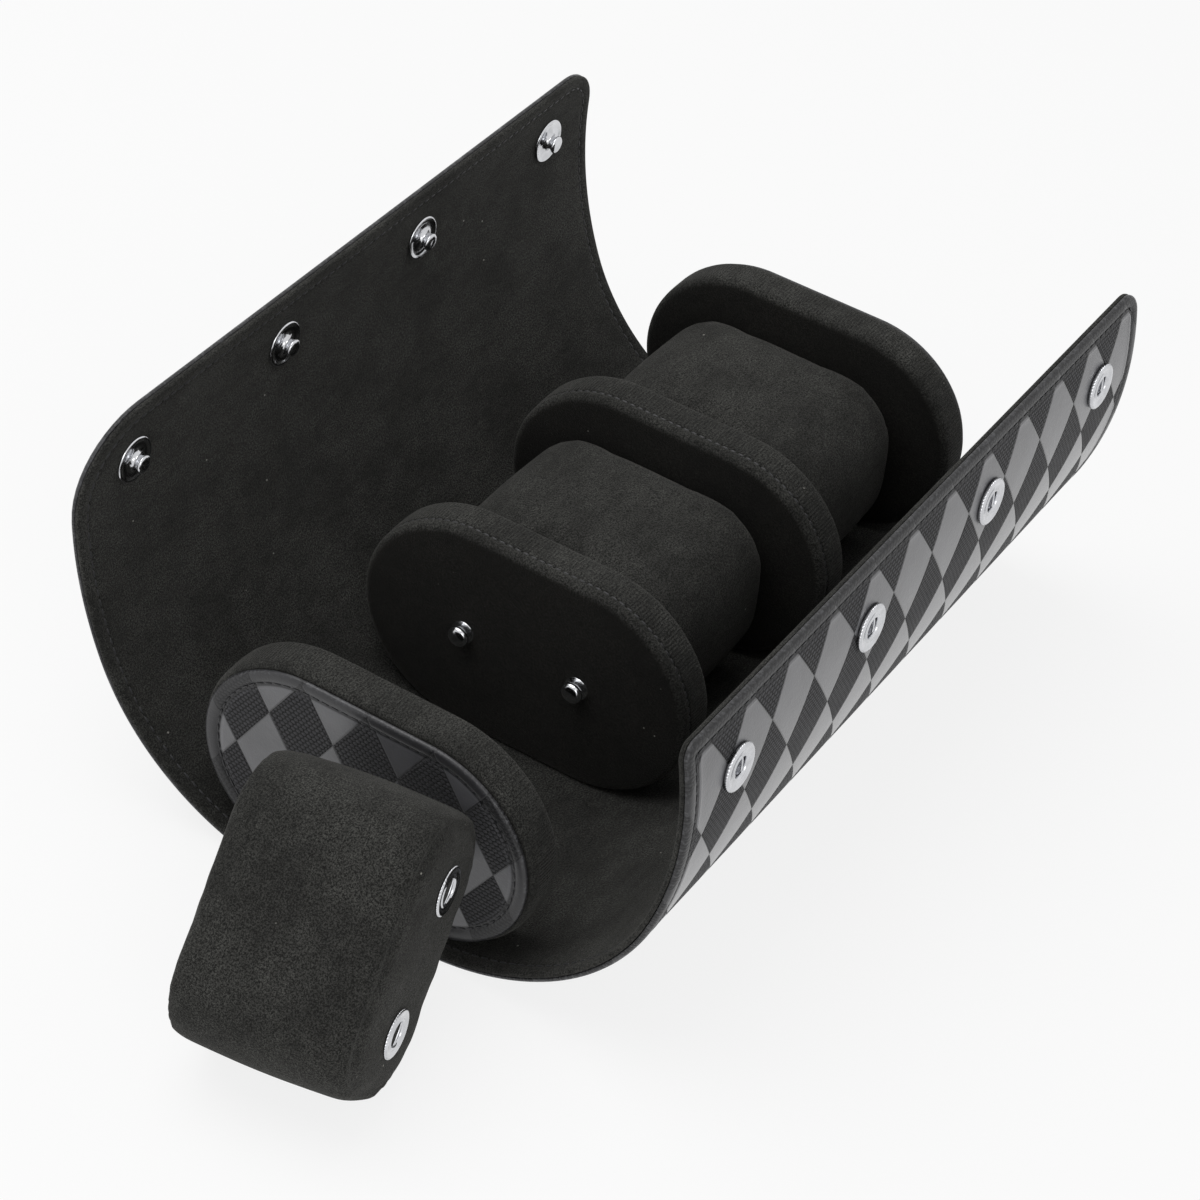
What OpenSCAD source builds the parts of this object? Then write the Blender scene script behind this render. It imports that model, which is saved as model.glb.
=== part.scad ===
// A soft travel roll: a stiffened wrap with two closing flaps, four oval discs and three cushions.
// X runs along the roll, +Y is the left flap, -Y the right flap, +Z is up.
// The origin is the centre of the flat underside.

/* [Roll] */
// Wrap left over beyond the end caps at each end
end_margin = 3; // [2:0.5:8]

/* [Wrap layers] */
// Thickness of the outer leather
skin_t = 0.9; // [0.6:0.1:1.4]
// Thickness of the stiffener board
board_t = 0.9; // [0.6:0.1:1.6]
// Thickness of the suede lining
lining_t = 0.7; // [0.5:0.1:1.2]
// Width of the leather turned over each edge
turned_w = 2.2; // [1.5:0.1:4]

/* [Left flap] */
// Outer radius of the curve that rises from the flat underside
left_curve_r = 60; // [54:1:80]
// Angle at which that curve ends
left_curve_turn = 68; // [50:1:80]
// Outer radius of the flap above that curve
left_upper_r = 110; // [80:1:200]
// Length of the base on this side beyond the flat underside
left_base_len = 18; // [14:0.5:24]
// Length of the lower part
left_lower_len = 34; // [26:0.5:40]
// Length of the middle part
left_middle_len = 38; // [28:0.5:44]
// Length of the tip part
left_tip_len = 41; // [30:0.5:50]
// Radius of the tip's front corner
left_front_corner_r = 22; // [6:1:28]
// Radius of the tip's rear corner
left_rear_corner_r = 12; // [6:1:28]
// Distance from the tip's edge to the row of studs
left_snap_inset = 14.75; // [9:0.25:16]

/* [Right flap] */
// Outer radius of the curve that rises from the flat underside
right_curve_r = 64; // [54:1:80]
// Angle at which that curve ends
right_curve_turn = 70; // [50:1:80]
// Outer radius of the flap above that curve
right_upper_r = 95; // [80:1:200]
// Length of the base on this side beyond the flat underside
right_base_len = 16.5; // [14:0.5:24]
// Length of the lower part
right_lower_len = 31; // [26:0.5:40]
// Length of the middle part
right_middle_len = 30.5; // [26:0.5:44]
// Length of the tip part
right_tip_len = 55.5; // [36:0.5:64]
// Radius of the tip's front corner
right_front_corner_r = 4; // [3:0.5:20]
// Radius of the tip's rear corner
right_rear_corner_r = 6; // [3:0.5:20]
// Distance from the tip's edge to the row of sockets
right_snap_inset = 17.25; // [9:0.25:24]

/* [Discs] */
// Width of a disc
disc_w = 90; // [84:1:104]
// Height of a disc
disc_h = 58; // [52:1:62]
// Thickness of a disc
disc_t = 12; // [9:0.5:14]
// Radius of the padded edges of a disc
disc_edge_r = 2.5; // [1:0.25:3.5]
// Thickness of the suede cover of a disc
disc_cover_t = 1; // [0.6:0.1:1.5]
// Thickness of a cap's leather face at its raised edge
face_t = 1.2; // [0.8:0.1:2]
// Depth of the hollow inside that raised edge
face_hollow = 0.5; // [0.2:0.1:0.6]
// Width of that raised edge
face_rim_w = 2.4; // [1.5:0.1:4]
// Distance from a cap's outline to its leather face
face_inset = 1.2; // [0.5:0.1:3]

/* [Cushions] */
// Length of a cushion, from end panel to end panel
cushion_len = 46; // [40:0.5:46]
// Width of a cushion's section
cushion_w = 67; // [56:0.5:68]
// Height of a cushion's section
cushion_h = 46; // [36:0.5:46]
// Corner radius of a cushion's section
cushion_corner_r = 18; // [12:0.5:18]
// Outward bulge of the cushion halfway along it
cushion_crown = 0.6; // [0.4:0.1:2]
// Rounding of the edges beside the end panels
cushion_edge_r = 3; // [2:0.25:4]
// Depth of the seam round an end panel
seam_depth = 0.5; // [0.2:0.1:0.8]
// Thickness of the padded cover round the foam
cushion_cover_t = 4; // [3:0.25:6]
// Space between a seated cushion and the disc in front of it
cushion_front_gap = 0.4; // [0.3:0.1:4]
// Space between a seated cushion's sockets and the studs behind it
stud_clearance = 0.3; // [0.3:0.1:2]

/* [Loose cushion] */
// Lean of the loose cushion from the upright
loose_lean = 44; // [20:1:45]
// Turn of the loose cushion about the vertical
loose_turn = 9; // [0:1:12]
// Sideways place of the loose cushion's middle
loose_y = -15.5; // [-18:0.5:0]
// Space between the loose cushion and the front cap
loose_gap = 0.4; // [0.3:0.1:3]

/* [Snaps] */
// Number of snaps along a flap
snap_count = 4; // [3:1:5]
// Distance from one flap snap to the next
snap_spacing = 56; // [40:0.5:58]
// Radius of a flap stud's flange, a socket ring and a cap
snap_r = 5.8; // [5:0.1:7]
// Thickness of a flap stud's flange
stud_flange_t = 0.5; // [0.4:0.1:1]
// Radius of a flap stud's head
stud_head_r = 2.3; // [1.8:0.1:2.6]
// Height of a flap stud above the lining
stud_height = 3.4; // [2.6:0.1:3.8]
// Radius of the bore in a socket
socket_bore_r = 2.6; // [2:0.1:3]
// Height of a socket ring above the leather
socket_ring_t = 1; // [0.8:0.1:1.5]
// Wall of a socket's barrel
barrel_wall = 0.6; // [0.4:0.1:1]
// Thickness of a snap's cap
cap_t = 0.7; // [0.5:0.1:1]
// Distance between the two studs on a disc
disc_stud_spacing = 32; // [24:0.5:36]
// Radius of a disc stud's ball
ball_r = 2.8; // [2:0.1:3.2]
// Height of a disc stud above the suede
ball_height = 3.5; // [2.8:0.1:4]
// Radius of the bore in a cushion's socket
cushion_bore_r = 3; // [2.4:0.1:3.4]
// Depth of a cushion's socket
cushion_socket_depth = 4; // [3.8:0.1:6]
// Height of a cushion's socket ring above its end panel
cushion_ring_t = 0.8; // [0.5:0.1:1]

/* [Hidden] */

// Places along the roll
disc_count = 4;
slot_len = cushion_front_gap + cushion_len + cushion_ring_t + stud_clearance + ball_height;
disc_pitch = disc_t + slot_len;
half_row = ((disc_count - 1) * disc_pitch + disc_t) / 2;
half_len = half_row + end_margin;
wrap_t = skin_t + board_t + lining_t;
disc_flat = (disc_w - disc_h) / 2;
disc_mid_z = wrap_t + disc_h / 2;
function disc_x(place) = -half_row + place * disc_pitch;

// A side of the wrap: its curve radius, the angle where that curve ends, and its upper radius
left_side = [left_curve_r, left_curve_turn, left_upper_r];
right_side = [right_curve_r, right_curve_turn, right_upper_r];

// Where each part of a side ends, measured round the leather from the centre line
left_cuts = [
    disc_flat + left_base_len,
    disc_flat + left_base_len + left_lower_len,
    disc_flat + left_base_len + left_lower_len + left_middle_len,
    disc_flat + left_base_len + left_lower_len + left_middle_len + left_tip_len];
right_cuts = [
    disc_flat + right_base_len,
    disc_flat + right_base_len + right_lower_len,
    disc_flat + right_base_len + right_lower_len + right_middle_len,
    disc_flat + right_base_len + right_lower_len + right_middle_len + right_tip_len];

// Fine steps and small clearances
arc_step = 2;
corner_steps = 10;
least_corner_r = 0.5;
fold_gap = 0.1;
barrel_gap = 0.05;
overrun = 1;
round_fn = 48;

// Direction of the wrap at a length s round the leather, in degrees from level
function curve_end(side) = disc_flat + side[0] * side[1] * PI / 180;
function turn_at(side, s) =
    s < disc_flat ? 0
    : s < curve_end(side) ? (s - disc_flat) / side[0] * 180 / PI
    : side[1] + (s - curve_end(side)) / side[2] * 180 / PI;

// Point of the outer face at a length s
function outer_at(side, s) =
    let (turn = turn_at(side, s), low_turn = min(turn, side[1]))
    [min(s, disc_flat) + side[0] * sin(low_turn)
        + (turn > side[1] ? side[2] * (sin(turn) - sin(side[1])) : 0),
     side[0] * (1 - cos(low_turn))
        + (turn > side[1] ? side[2] * (cos(side[1]) - cos(turn)) : 0)];

// Point at a length s and a depth below the outer face
function wrap_point(side, s, depth) =
    outer_at(side, s) + depth * [-sin(turn_at(side, s)), cos(turn_at(side, s))];

// Stations from one length to another, on the same marks for every layer
function stations(from, to) = concat(
    [from],
    [for (k = [ceil(from / arc_step) : floor(to / arc_step)])
        if (k * arc_step > from + fold_gap && k * arc_step < to - fold_gap) k * arc_step],
    [to]);

// Section of one layer along a row of stations
function strip(side, row, outer_depth, inner_depth) = concat(
    [for (s = row) wrap_point(side, s, outer_depth)],
    [for (k = [len(row) - 1 : -1 : 0]) wrap_point(side, row[k], inner_depth)]);

// Extrudes a section in Y and Z along the roll
module along_roll(from_x, to_x) {
    translate([from_x, 0, 0]) rotate([90, 0, 90]) linear_extrude(to_x - from_x) children();
}

module layer(side, row, outer_depth, inner_depth, inset) {
    along_roll(-half_len + inset, half_len - inset)
        polygon(strip(side, row, outer_depth, inner_depth));
}

// A row of stations carried past its ends, for the pocket inside the leather
function past_start(row) = concat([row[0] - overrun], row);
function past_end(row) = concat(row, [row[len(row) - 1] + overrun]);

// The lower and middle parts of a flap lie between two folds
function fold_row(cuts, part) = stations(cuts[part - 1] + fold_gap / 2, cuts[part] - fold_gap / 2);

// The leather is turned over at its edges, and the board and lining lie in the pocket this leaves
module part_skin(side, cuts, part) {
    row = fold_row(cuts, part);
    difference() {
        layer(side, row, 0, wrap_t, 0);
        layer(side, past_start(past_end(row)), skin_t, wrap_t + overrun, turned_w);
    }
}

module part_board(side, cuts, part) {
    layer(side, fold_row(cuts, part), skin_t, skin_t + board_t, turned_w);
}

module part_lining(side, cuts, part) {
    layer(side, fold_row(cuts, part), skin_t + board_t, wrap_t, turned_w);
}

// Outline of a tip seen from the side of the roll, drawn in by an inset
function corner(x, z, r, from_turn) = [for (k = [0 : corner_steps])
    [x + r * cos(from_turn + k * 90 / corner_steps), z + r * sin(from_turn + k * 90 / corner_steps)]];

function tip_outline(bottom, top, front_r, rear_r, inset) =
    let (front = max(front_r - inset, least_corner_r), rear = max(rear_r - inset, least_corner_r),
        x = half_len - inset, z = top - inset)
    concat([[-x, bottom], [x, bottom]], corner(x - rear, z - rear, rear, 0),
        corner(-x + front, z - front, front, 90));

module tip_prism(side, cuts, radii, inset) {
    top = outer_at(side, cuts[3])[1];
    bottom = outer_at(side, cuts[2])[1] - 2 * turned_w;
    reach = 3 * left_upper_r;
    rotate([90, 0, 0]) translate([0, 0, -reach / 2]) linear_extrude(reach)
        polygon(tip_outline(bottom, top, radii[0], radii[1], inset));
}

function tip_row(cuts) = stations(cuts[2] + fold_gap / 2, cuts[3]);

// Places and leans one snap on a flap, with its axis out of the leather
module at_snap(side, cuts, inset, place) {
    s = cuts[3] - inset;
    foot = outer_at(side, s);
    translate([(place - (snap_count - 1) / 2) * snap_spacing, foot[0], foot[1]])
        rotate([turn_at(side, s) - 180, 0, 0]) children();
}

module snap_holes(side, cuts, inset, r) {
    for (place = [0 : snap_count - 1])
        at_snap(side, cuts, inset, place)
            translate([0, 0, -wrap_t - overrun])
                cylinder(r = r, h = wrap_t + 2 * overrun, $fn = round_fn);
}

module tip_skin(side, cuts, radii, inset, hole_r) {
    difference() {
        intersection() {
            layer(side, tip_row(cuts), 0, wrap_t, 0);
            tip_prism(side, cuts, radii, 0);
        }
        intersection() {
            layer(side, past_start(tip_row(cuts)), skin_t, wrap_t + overrun, 0);
            tip_prism(side, cuts, radii, turned_w);
        }
        snap_holes(side, cuts, inset, hole_r);
    }
}

module tip_inner(side, cuts, radii, inset, hole_r, outer_depth, inner_depth) {
    difference() {
        intersection() {
            layer(side, tip_row(cuts), outer_depth, inner_depth, 0);
            tip_prism(side, cuts, radii, turned_w);
        }
        snap_holes(side, cuts, inset, hole_r);
    }
}

// The base runs under the discs to the first fold on each side
left_base_row = stations(0, left_cuts[0] - fold_gap / 2);
right_base_row = stations(0, right_cuts[0] - fold_gap / 2);

module base_layer(left_row, right_row, outer_depth, inner_depth, inset) {
    along_roll(-half_len + inset, half_len - inset) union() {
        polygon(strip(left_side, left_row, outer_depth, inner_depth));
        mirror([1, 0]) polygon(strip(right_side, right_row, outer_depth, inner_depth));
    }
}

module base_skin() {
    color("#3c3c3f") difference() {
        base_layer(left_base_row, right_base_row, 0, wrap_t, 0);
        base_layer(past_end(left_base_row), past_end(right_base_row), skin_t, wrap_t + overrun, turned_w);
    }
}

module base_board() {
    color("#8a7a62") base_layer(left_base_row, right_base_row, skin_t, skin_t + board_t, turned_w);
}

module base_lining() {
    color("#262523") base_layer(left_base_row, right_base_row, skin_t + board_t, wrap_t, turned_w);
}

left_radii = [left_front_corner_r, left_rear_corner_r];
right_radii = [right_front_corner_r, right_rear_corner_r];
left_hole_r = stud_head_r - barrel_wall + barrel_gap;
right_hole_r = socket_bore_r + barrel_wall + barrel_gap;

module left_lower_skin() { color("#3c3c3f") part_skin(left_side, left_cuts, 1); }
module left_lower_board() { color("#8a7a62") part_board(left_side, left_cuts, 1); }
module left_lower_lining() { color("#262523") part_lining(left_side, left_cuts, 1); }
module left_middle_skin() { color("#3c3c3f") part_skin(left_side, left_cuts, 2); }
module left_middle_board() { color("#8a7a62") part_board(left_side, left_cuts, 2); }
module left_middle_lining() { color("#262523") part_lining(left_side, left_cuts, 2); }

module left_tip_skin() {
    color("#3c3c3f") tip_skin(left_side, left_cuts, left_radii, left_snap_inset, left_hole_r);
}

module left_tip_board() {
    color("#8a7a62")
        tip_inner(left_side, left_cuts, left_radii, left_snap_inset, left_hole_r,
            skin_t, skin_t + board_t);
}

module left_tip_lining() {
    color("#262523")
        tip_inner(left_side, left_cuts, left_radii, left_snap_inset, left_hole_r,
            skin_t + board_t, wrap_t);
}

module on_right() { mirror([0, 1, 0]) children(); }

module right_lower_skin() { color("#3c3c3f") on_right() part_skin(right_side, right_cuts, 1); }
module right_lower_board() { color("#8a7a62") on_right() part_board(right_side, right_cuts, 1); }
module right_lower_lining() { color("#262523") on_right() part_lining(right_side, right_cuts, 1); }
module right_middle_skin() { color("#3c3c3f") on_right() part_skin(right_side, right_cuts, 2); }
module right_middle_board() { color("#8a7a62") on_right() part_board(right_side, right_cuts, 2); }
module right_middle_lining() { color("#262523") on_right() part_lining(right_side, right_cuts, 2); }

module right_tip_skin() {
    color("#3c3c3f") on_right()
        tip_skin(right_side, right_cuts, right_radii, right_snap_inset, right_hole_r);
}

module right_tip_board() {
    color("#8a7a62") on_right()
        tip_inner(right_side, right_cuts, right_radii, right_snap_inset, right_hole_r,
            skin_t, skin_t + board_t);
}

module right_tip_lining() {
    color("#262523") on_right()
        tip_inner(right_side, right_cuts, right_radii, right_snap_inset, right_hole_r,
            skin_t + board_t, wrap_t);
}

// Section of a disc from its middle outwards: r wide, t thick, with rounded outer edges
module edge_profile(r, t, edge_r) {
    square([r - edge_r, t]);
    translate([0, edge_r]) square([r, t - 2 * edge_r]);
    translate([r - edge_r, edge_r]) circle(edge_r, $fn = round_fn);
    translate([r - edge_r, t - edge_r]) circle(edge_r, $fn = round_fn);
}

// An oval standing on edge, with its middle at y = 0 and z = 0 and its thickness along +X
module oval(w, h, t, edge_r) {
    flat = (w - h) / 2;
    rotate([90, 0, 90]) {
        for (end = [0, 1]) mirror([end, 0, 0]) translate([flat, 0, 0])
            rotate([0, 0, -90]) rotate_extrude(angle = 180, $fn = round_fn * 2)
                edge_profile(h / 2, t, edge_r);
        translate([-flat, 0, 0]) rotate([90, 0, 90]) linear_extrude(2 * flat)
            for (end = [0, 1]) mirror([end, 0]) edge_profile(h / 2, t, edge_r);
    }
}

// A flat oval plate with square edges
module oval_plate(w, h, t) {
    flat = (w - h) / 2;
    rotate([90, 0, 90]) {
        for (end = [-1, 1]) translate([end * flat, 0, 0]) cylinder(r = h / 2, h = t, $fn = round_fn * 2);
        translate([-flat, -h / 2, 0]) cube([2 * flat, h, t]);
    }
}

// Holes for the two barrels that hold a disc's studs
ball_neck_share = 0.58;
ball_neck_r = ball_r * ball_neck_share;
module stud_holes(front_x) {
    for (side = [-1, 1]) translate([front_x - overrun, side * disc_stud_spacing / 2, disc_mid_z])
        rotate([0, 90, 0]) cylinder(r = ball_neck_r, h = overrun + disc_t / 2, $fn = round_fn);
}

// A divider: its front is at x, and its suede cover closes all round the board
module divider_cover(x) {
    difference() {
        translate([x, 0, disc_mid_z]) oval(disc_w, disc_h, disc_t, disc_edge_r);
        translate([x + disc_cover_t, 0, disc_mid_z])
            oval_plate(disc_w - 2 * board_inset, disc_h - 2 * board_inset, disc_t - 2 * disc_cover_t);
        stud_holes(x);
    }
}

module divider_core(x) {
    difference() {
        translate([x + disc_cover_t, 0, disc_mid_z])
            oval_plate(disc_w - 2 * board_inset, disc_h - 2 * board_inset, disc_t - 2 * disc_cover_t);
        stud_holes(x);
    }
}

// The board stops short of the padded edge
board_inset = disc_edge_r + disc_cover_t / 2;

// A pair of ball studs on the front face of a disc, each with a barrel that ends in the board
module disc_studs(x) {
    for (side = [-1, 1]) translate([x, side * disc_stud_spacing / 2, disc_mid_z]) rotate([0, -90, 0]) {
        translate([0, 0, ball_height - ball_r]) intersection() {
            sphere(ball_r, $fn = round_fn);
            translate([0, 0, ball_r - ball_height])
                cylinder(r = ball_r + overrun, h = ball_height, $fn = round_fn);
        }
        translate([0, 0, -disc_t / 2])
            cylinder(r = ball_neck_r, h = disc_t / 2 + ball_height - ball_r, $fn = round_fn);
    }
}

// An end cap whose leather face looks along -X; the rear cap is turned round
cap_cover_len = disc_t - face_t;

module cap_cover() {
    difference() {
        translate([face_t, 0, 0]) oval(disc_w, disc_h, cap_cover_len, disc_edge_r);
        translate([face_t - overrun, 0, 0])
            oval_plate(disc_w - 2 * board_inset, disc_h - 2 * board_inset,
                overrun + cap_cover_len - disc_cover_t);
    }
}

module cap_core() {
    translate([face_t, 0, 0])
        oval_plate(disc_w - 2 * board_inset, disc_h - 2 * board_inset, cap_cover_len - disc_cover_t);
}

module cap_face() {
    w = disc_w - 2 * face_inset;
    h = disc_h - 2 * face_inset;
    difference() {
        oval(w, h, 2 * face_t, face_t - barrel_gap);
        translate([face_t, 0, 0]) oval_plate(w + overrun, h + overrun, face_t + overrun);
        translate([-overrun, 0, 0])
            oval_plate(w - 2 * face_rim_w, h - 2 * face_rim_w, overrun + face_hollow);
    }
}

module place_front_cap() { translate([disc_x(0), 0, disc_mid_z]) children(); }
module place_rear_cap() { translate([-disc_x(0), 0, disc_mid_z]) mirror([1, 0, 0]) children(); }

module front_cap_core() { color("#8a7a62") place_front_cap() cap_core(); }
module front_cap_cover() { color("#1f1e1d") place_front_cap() cap_cover(); }
module front_cap_face() { color("#3c3c3f") place_front_cap() cap_face(); }
module front_divider_core() { color("#8a7a62") divider_core(disc_x(1)); }
module front_divider_cover() { color("#1f1e1d") divider_cover(disc_x(1)); }
module front_divider_studs() { color("#d8dadd") disc_studs(disc_x(1)); }
module rear_divider_core() { color("#8a7a62") divider_core(disc_x(2)); }
module rear_divider_cover() { color("#1f1e1d") divider_cover(disc_x(2)); }
module rear_divider_studs() { color("#d8dadd") disc_studs(disc_x(2)); }

module rear_cap_core() {
    color("#8a7a62") difference() {
        place_rear_cap() cap_core();
        stud_holes(disc_x(3));
    }
}

module rear_cap_cover() {
    color("#1f1e1d") difference() {
        place_rear_cap() cap_cover();
        stud_holes(disc_x(3));
    }
}

module rear_cap_face() { color("#3c3c3f") place_rear_cap() cap_face(); }
module rear_cap_studs() { color("#d8dadd") disc_studs(disc_x(3)); }

// A cushion lies along +X from x = 0, with its socket end at x = cushion_len.
// Its outline is a rounded oblong whose sides swell by a bulge and are drawn in by an inset.
corner_marks = 6;
side_marks = 4;
end_marks = 3;

function oblong_corner(w, h, r, quarter) =
    let (y = (quarter == 0 || quarter == 3 ? 1 : -1) * (w / 2 - r), z = (quarter < 2 ? 1 : -1) * (h / 2 - r))
    [for (k = [0 : corner_marks])
        let (turn = 90 * quarter + 90 * k / corner_marks) [y + r * cos(turn), z + r * sin(turn)]];

function oblong_side(from, to, marks, rise) =
    let (run = to - from, out = [run[1], -run[0]] / norm(run))
    [for (k = [1 : marks])
        let (share = k / (marks + 1)) from + run * share + out * rise * 4 * share * (1 - share)];

function oblong(w, h, r, rise) =
    let (corners = [for (quarter = [0 : 3]) oblong_corner(w, h, r, quarter)])
    [for (quarter = [0 : 3])
        let (here = corners[quarter], next = corners[(quarter + 1) % 4])
        each concat(here,
            oblong_side(here[corner_marks], next[0], quarter % 2 == 0 ? side_marks : end_marks, rise))];

// Rows of the cushion's skin: place along it, inset of the outline and rise of its sides
edge_rows = 3;
body_rows = 6;
panel_inset = cushion_edge_r + 2 * seam_depth;
end_panel_rows = [
    [0, panel_inset + 4 * seam_depth, 0],
    [0, panel_inset + seam_depth, 0],
    [seam_depth, panel_inset, 0]];
half_rows = concat(end_panel_rows, [for (k = [edge_rows : -1 : 0])
    let (turn = 90 * k / edge_rows)
    [cushion_edge_r * (1 - sin(turn)), cushion_edge_r * (1 - cos(turn)), 0]]);
middle_rows = [for (k = [1 : body_rows - 1])
    let (share = k / body_rows, bulge = cushion_crown * sin(180 * share))
    [cushion_edge_r + share * (cushion_len - 2 * cushion_edge_r), -bulge, bulge / 2]];
far_rows = [for (k = [len(half_rows) - 1 : -1 : 0])
    [cushion_len - half_rows[k][0], half_rows[k][1], half_rows[k][2]]];
cushion_rows = concat(half_rows, middle_rows, far_rows);

function cushion_ring(row) = oblong(cushion_w - 2 * row[1], cushion_h - 2 * row[1],
    max(cushion_corner_r - row[1], cushion_edge_r), row[2]);

module cushion_form() {
    rings = [for (row = cushion_rows) [for (p = cushion_ring(row)) [row[0], p[0], p[1]]]];
    n = len(rings[0]);
    last = len(rings) - 1;
    points = concat([for (ring = rings) each ring], [[0, 0, 0], [cushion_len, 0, 0]]);
    start = (last + 1) * n;
    faces = concat(
        [for (i = [0 : last - 1], k = [0 : n - 1]) [i * n + k, (i + 1) * n + k, i * n + (k + 1) % n]],
        [for (i = [0 : last - 1], k = [0 : n - 1])
            [(i + 1) * n + k, (i + 1) * n + (k + 1) % n, i * n + (k + 1) % n]],
        [for (k = [0 : n - 1]) [start, k, (k + 1) % n]],
        [for (k = [0 : n - 1]) [start + 1, last * n + (k + 1) % n, last * n + k]]);
    polyhedron(points, faces);
}

// The foam fills the cushion inside its padded cover
module cushion_foam() {
    w = cushion_w - 2 * cushion_cover_t;
    h = cushion_h - 2 * cushion_cover_t;
    r = cushion_corner_r - cushion_cover_t;
    t = cushion_len - 2 * cushion_cover_t;
    translate([cushion_cover_t, 0, 0]) rotate([90, 0, 90]) {
        for (y = [-1, 1], z = [-1, 1]) translate([y * (w / 2 - r), z * (h / 2 - r), 0])
            cylinder(r = r, h = t, $fn = round_fn);
        translate([-w / 2, r - h / 2, 0]) cube([w, h - 2 * r, t]);
        translate([r - w / 2, -h / 2, 0]) cube([w - 2 * r, h, t]);
    }
}

cushion_barrel_r = cushion_bore_r + barrel_wall;
cushion_barrel_len = cushion_socket_depth + barrel_wall;
module cushion_socket_holes() {
    for (side = [-1, 1]) translate([cushion_len - cushion_barrel_len, side * disc_stud_spacing / 2, 0])
        rotate([0, 90, 0]) cylinder(r = cushion_barrel_r, h = cushion_barrel_len + overrun, $fn = round_fn);
}

module cushion_cover() {
    difference() {
        cushion_form();
        cushion_foam();
        cushion_socket_holes();
    }
}

module cushion_core() {
    difference() {
        cushion_foam();
        cushion_socket_holes();
    }
}

module cushion_sockets() {
    for (side = [-1, 1]) translate([cushion_len, side * disc_stud_spacing / 2, 0]) rotate([0, 90, 0])
        socket(cushion_bore_r, cushion_ring_t, cushion_barrel_len, cushion_socket_depth);
}

// A socket: a ring on the surface, and a barrel below it that is bored to a depth
module socket(bore_r, ring_t, barrel_len, bore_depth) {
    difference() {
        union() {
            cylinder(r1 = snap_r, r2 = snap_r - ring_t / 2, h = ring_t, $fn = round_fn);
            translate([0, 0, -barrel_len]) cylinder(r = bore_r + barrel_wall, h = barrel_len, $fn = round_fn);
        }
        translate([0, 0, -bore_depth]) cylinder(r = bore_r, h = bore_depth + ring_t + overrun, $fn = round_fn);
        translate([0, 0, ring_t / 2]) cylinder(r1 = bore_r, r2 = bore_r + ring_t, h = ring_t, $fn = round_fn);
    }
}

// A seated cushion stands just clear of the studs of the disc behind it
module seat_cushion(place) {
    end_x = disc_x(place) - ball_height - stud_clearance - cushion_ring_t;
    translate([end_x - cushion_len, 0, disc_mid_z]) children();
}

// The loose cushion stands on its long edge and leans back on the front cap
loose_points = [for (row = cushion_rows, p = cushion_ring(row)) [row[0] - cushion_len / 2, p[0], p[1]]];
loose_z = max([for (p = loose_points) p[1] * cos(loose_lean) + p[2] * sin(loose_lean)]);
loose_reach = max([for (p = loose_points)
    p[0] * sin(loose_turn) + (p[1] * sin(loose_lean) - p[2] * cos(loose_lean)) * cos(loose_turn)]);
loose_x = disc_x(0) - loose_gap - loose_reach;
module lean_cushion() {
    translate([loose_x, loose_y, loose_z]) rotate([0, 0, loose_turn - 90]) rotate([90 - loose_lean, 0, 0])
        translate([-cushion_len / 2, 0, 0]) children();
}

module front_cushion_core() { color("#d9d2c0") lean_cushion() cushion_core(); }
module front_cushion_cover() { color("#2a2927") lean_cushion() cushion_cover(); }
module front_cushion_sockets() { color("#d8dadd") lean_cushion() cushion_sockets(); }
module middle_cushion_core() { color("#d9d2c0") seat_cushion(2) cushion_core(); }
module middle_cushion_cover() { color("#2a2927") seat_cushion(2) cushion_cover(); }
module middle_cushion_sockets() { color("#d8dadd") seat_cushion(2) cushion_sockets(); }
module rear_cushion_core() { color("#d9d2c0") seat_cushion(3) cushion_core(); }
module rear_cushion_cover() { color("#2a2927") seat_cushion(3) cushion_cover(); }
module rear_cushion_sockets() { color("#d8dadd") seat_cushion(3) cushion_sockets(); }

// How far a round flat plate must stand off a curved face so that it only touches it
function stand_off(side, r) = side[2] - sqrt(side[2] * side[2] - r * r);

// Studs on the left flap's lining, each with a barrel that reaches the leather
module left_studs() {
    lift = stand_off(left_side, snap_r) + barrel_gap;
    color("#d8dadd") for (place = [0 : snap_count - 1])
        at_snap(left_side, left_cuts, left_snap_inset, place) rotate([180, 0, 0]) {
            translate([0, 0, wrap_t + lift])
                cylinder(r1 = snap_r, r2 = snap_r - stud_flange_t, h = stud_flange_t, $fn = round_fn);
            cylinder(r = stud_head_r - barrel_wall, h = wrap_t + stud_height - stud_head_r, $fn = round_fn);
            intersection() {
                translate([0, 0, wrap_t + stud_height - stud_head_r]) sphere(stud_head_r, $fn = round_fn);
                translate([0, 0, wrap_t + lift])
                    cylinder(r = stud_head_r + overrun, h = stud_height, $fn = round_fn);
            }
        }
}

// Domed caps over the barrels, on the left flap's leather
module left_stud_caps() {
    color("#d8dadd") for (place = [0 : snap_count - 1])
        at_snap(left_side, left_cuts, left_snap_inset, place) translate([0, 0, barrel_gap])
            cylinder(r1 = snap_r, r2 = snap_r - cap_t, h = cap_t, $fn = round_fn);
}

module right_sockets() {
    color("#d8dadd") on_right() for (place = [0 : snap_count - 1])
        at_snap(right_side, right_cuts, right_snap_inset, place) translate([0, 0, barrel_gap])
            socket(socket_bore_r, socket_ring_t, wrap_t, wrap_t);
}

// Caps that close the barrels, on the right flap's lining
module right_socket_caps() {
    lift = stand_off(right_side, snap_r) + barrel_gap;
    color("#d8dadd") on_right() for (place = [0 : snap_count - 1])
        at_snap(right_side, right_cuts, right_snap_inset, place) rotate([180, 0, 0])
            translate([0, 0, wrap_t + lift])
                cylinder(r1 = snap_r, r2 = snap_r - cap_t, h = cap_t, $fn = round_fn);
}

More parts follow.
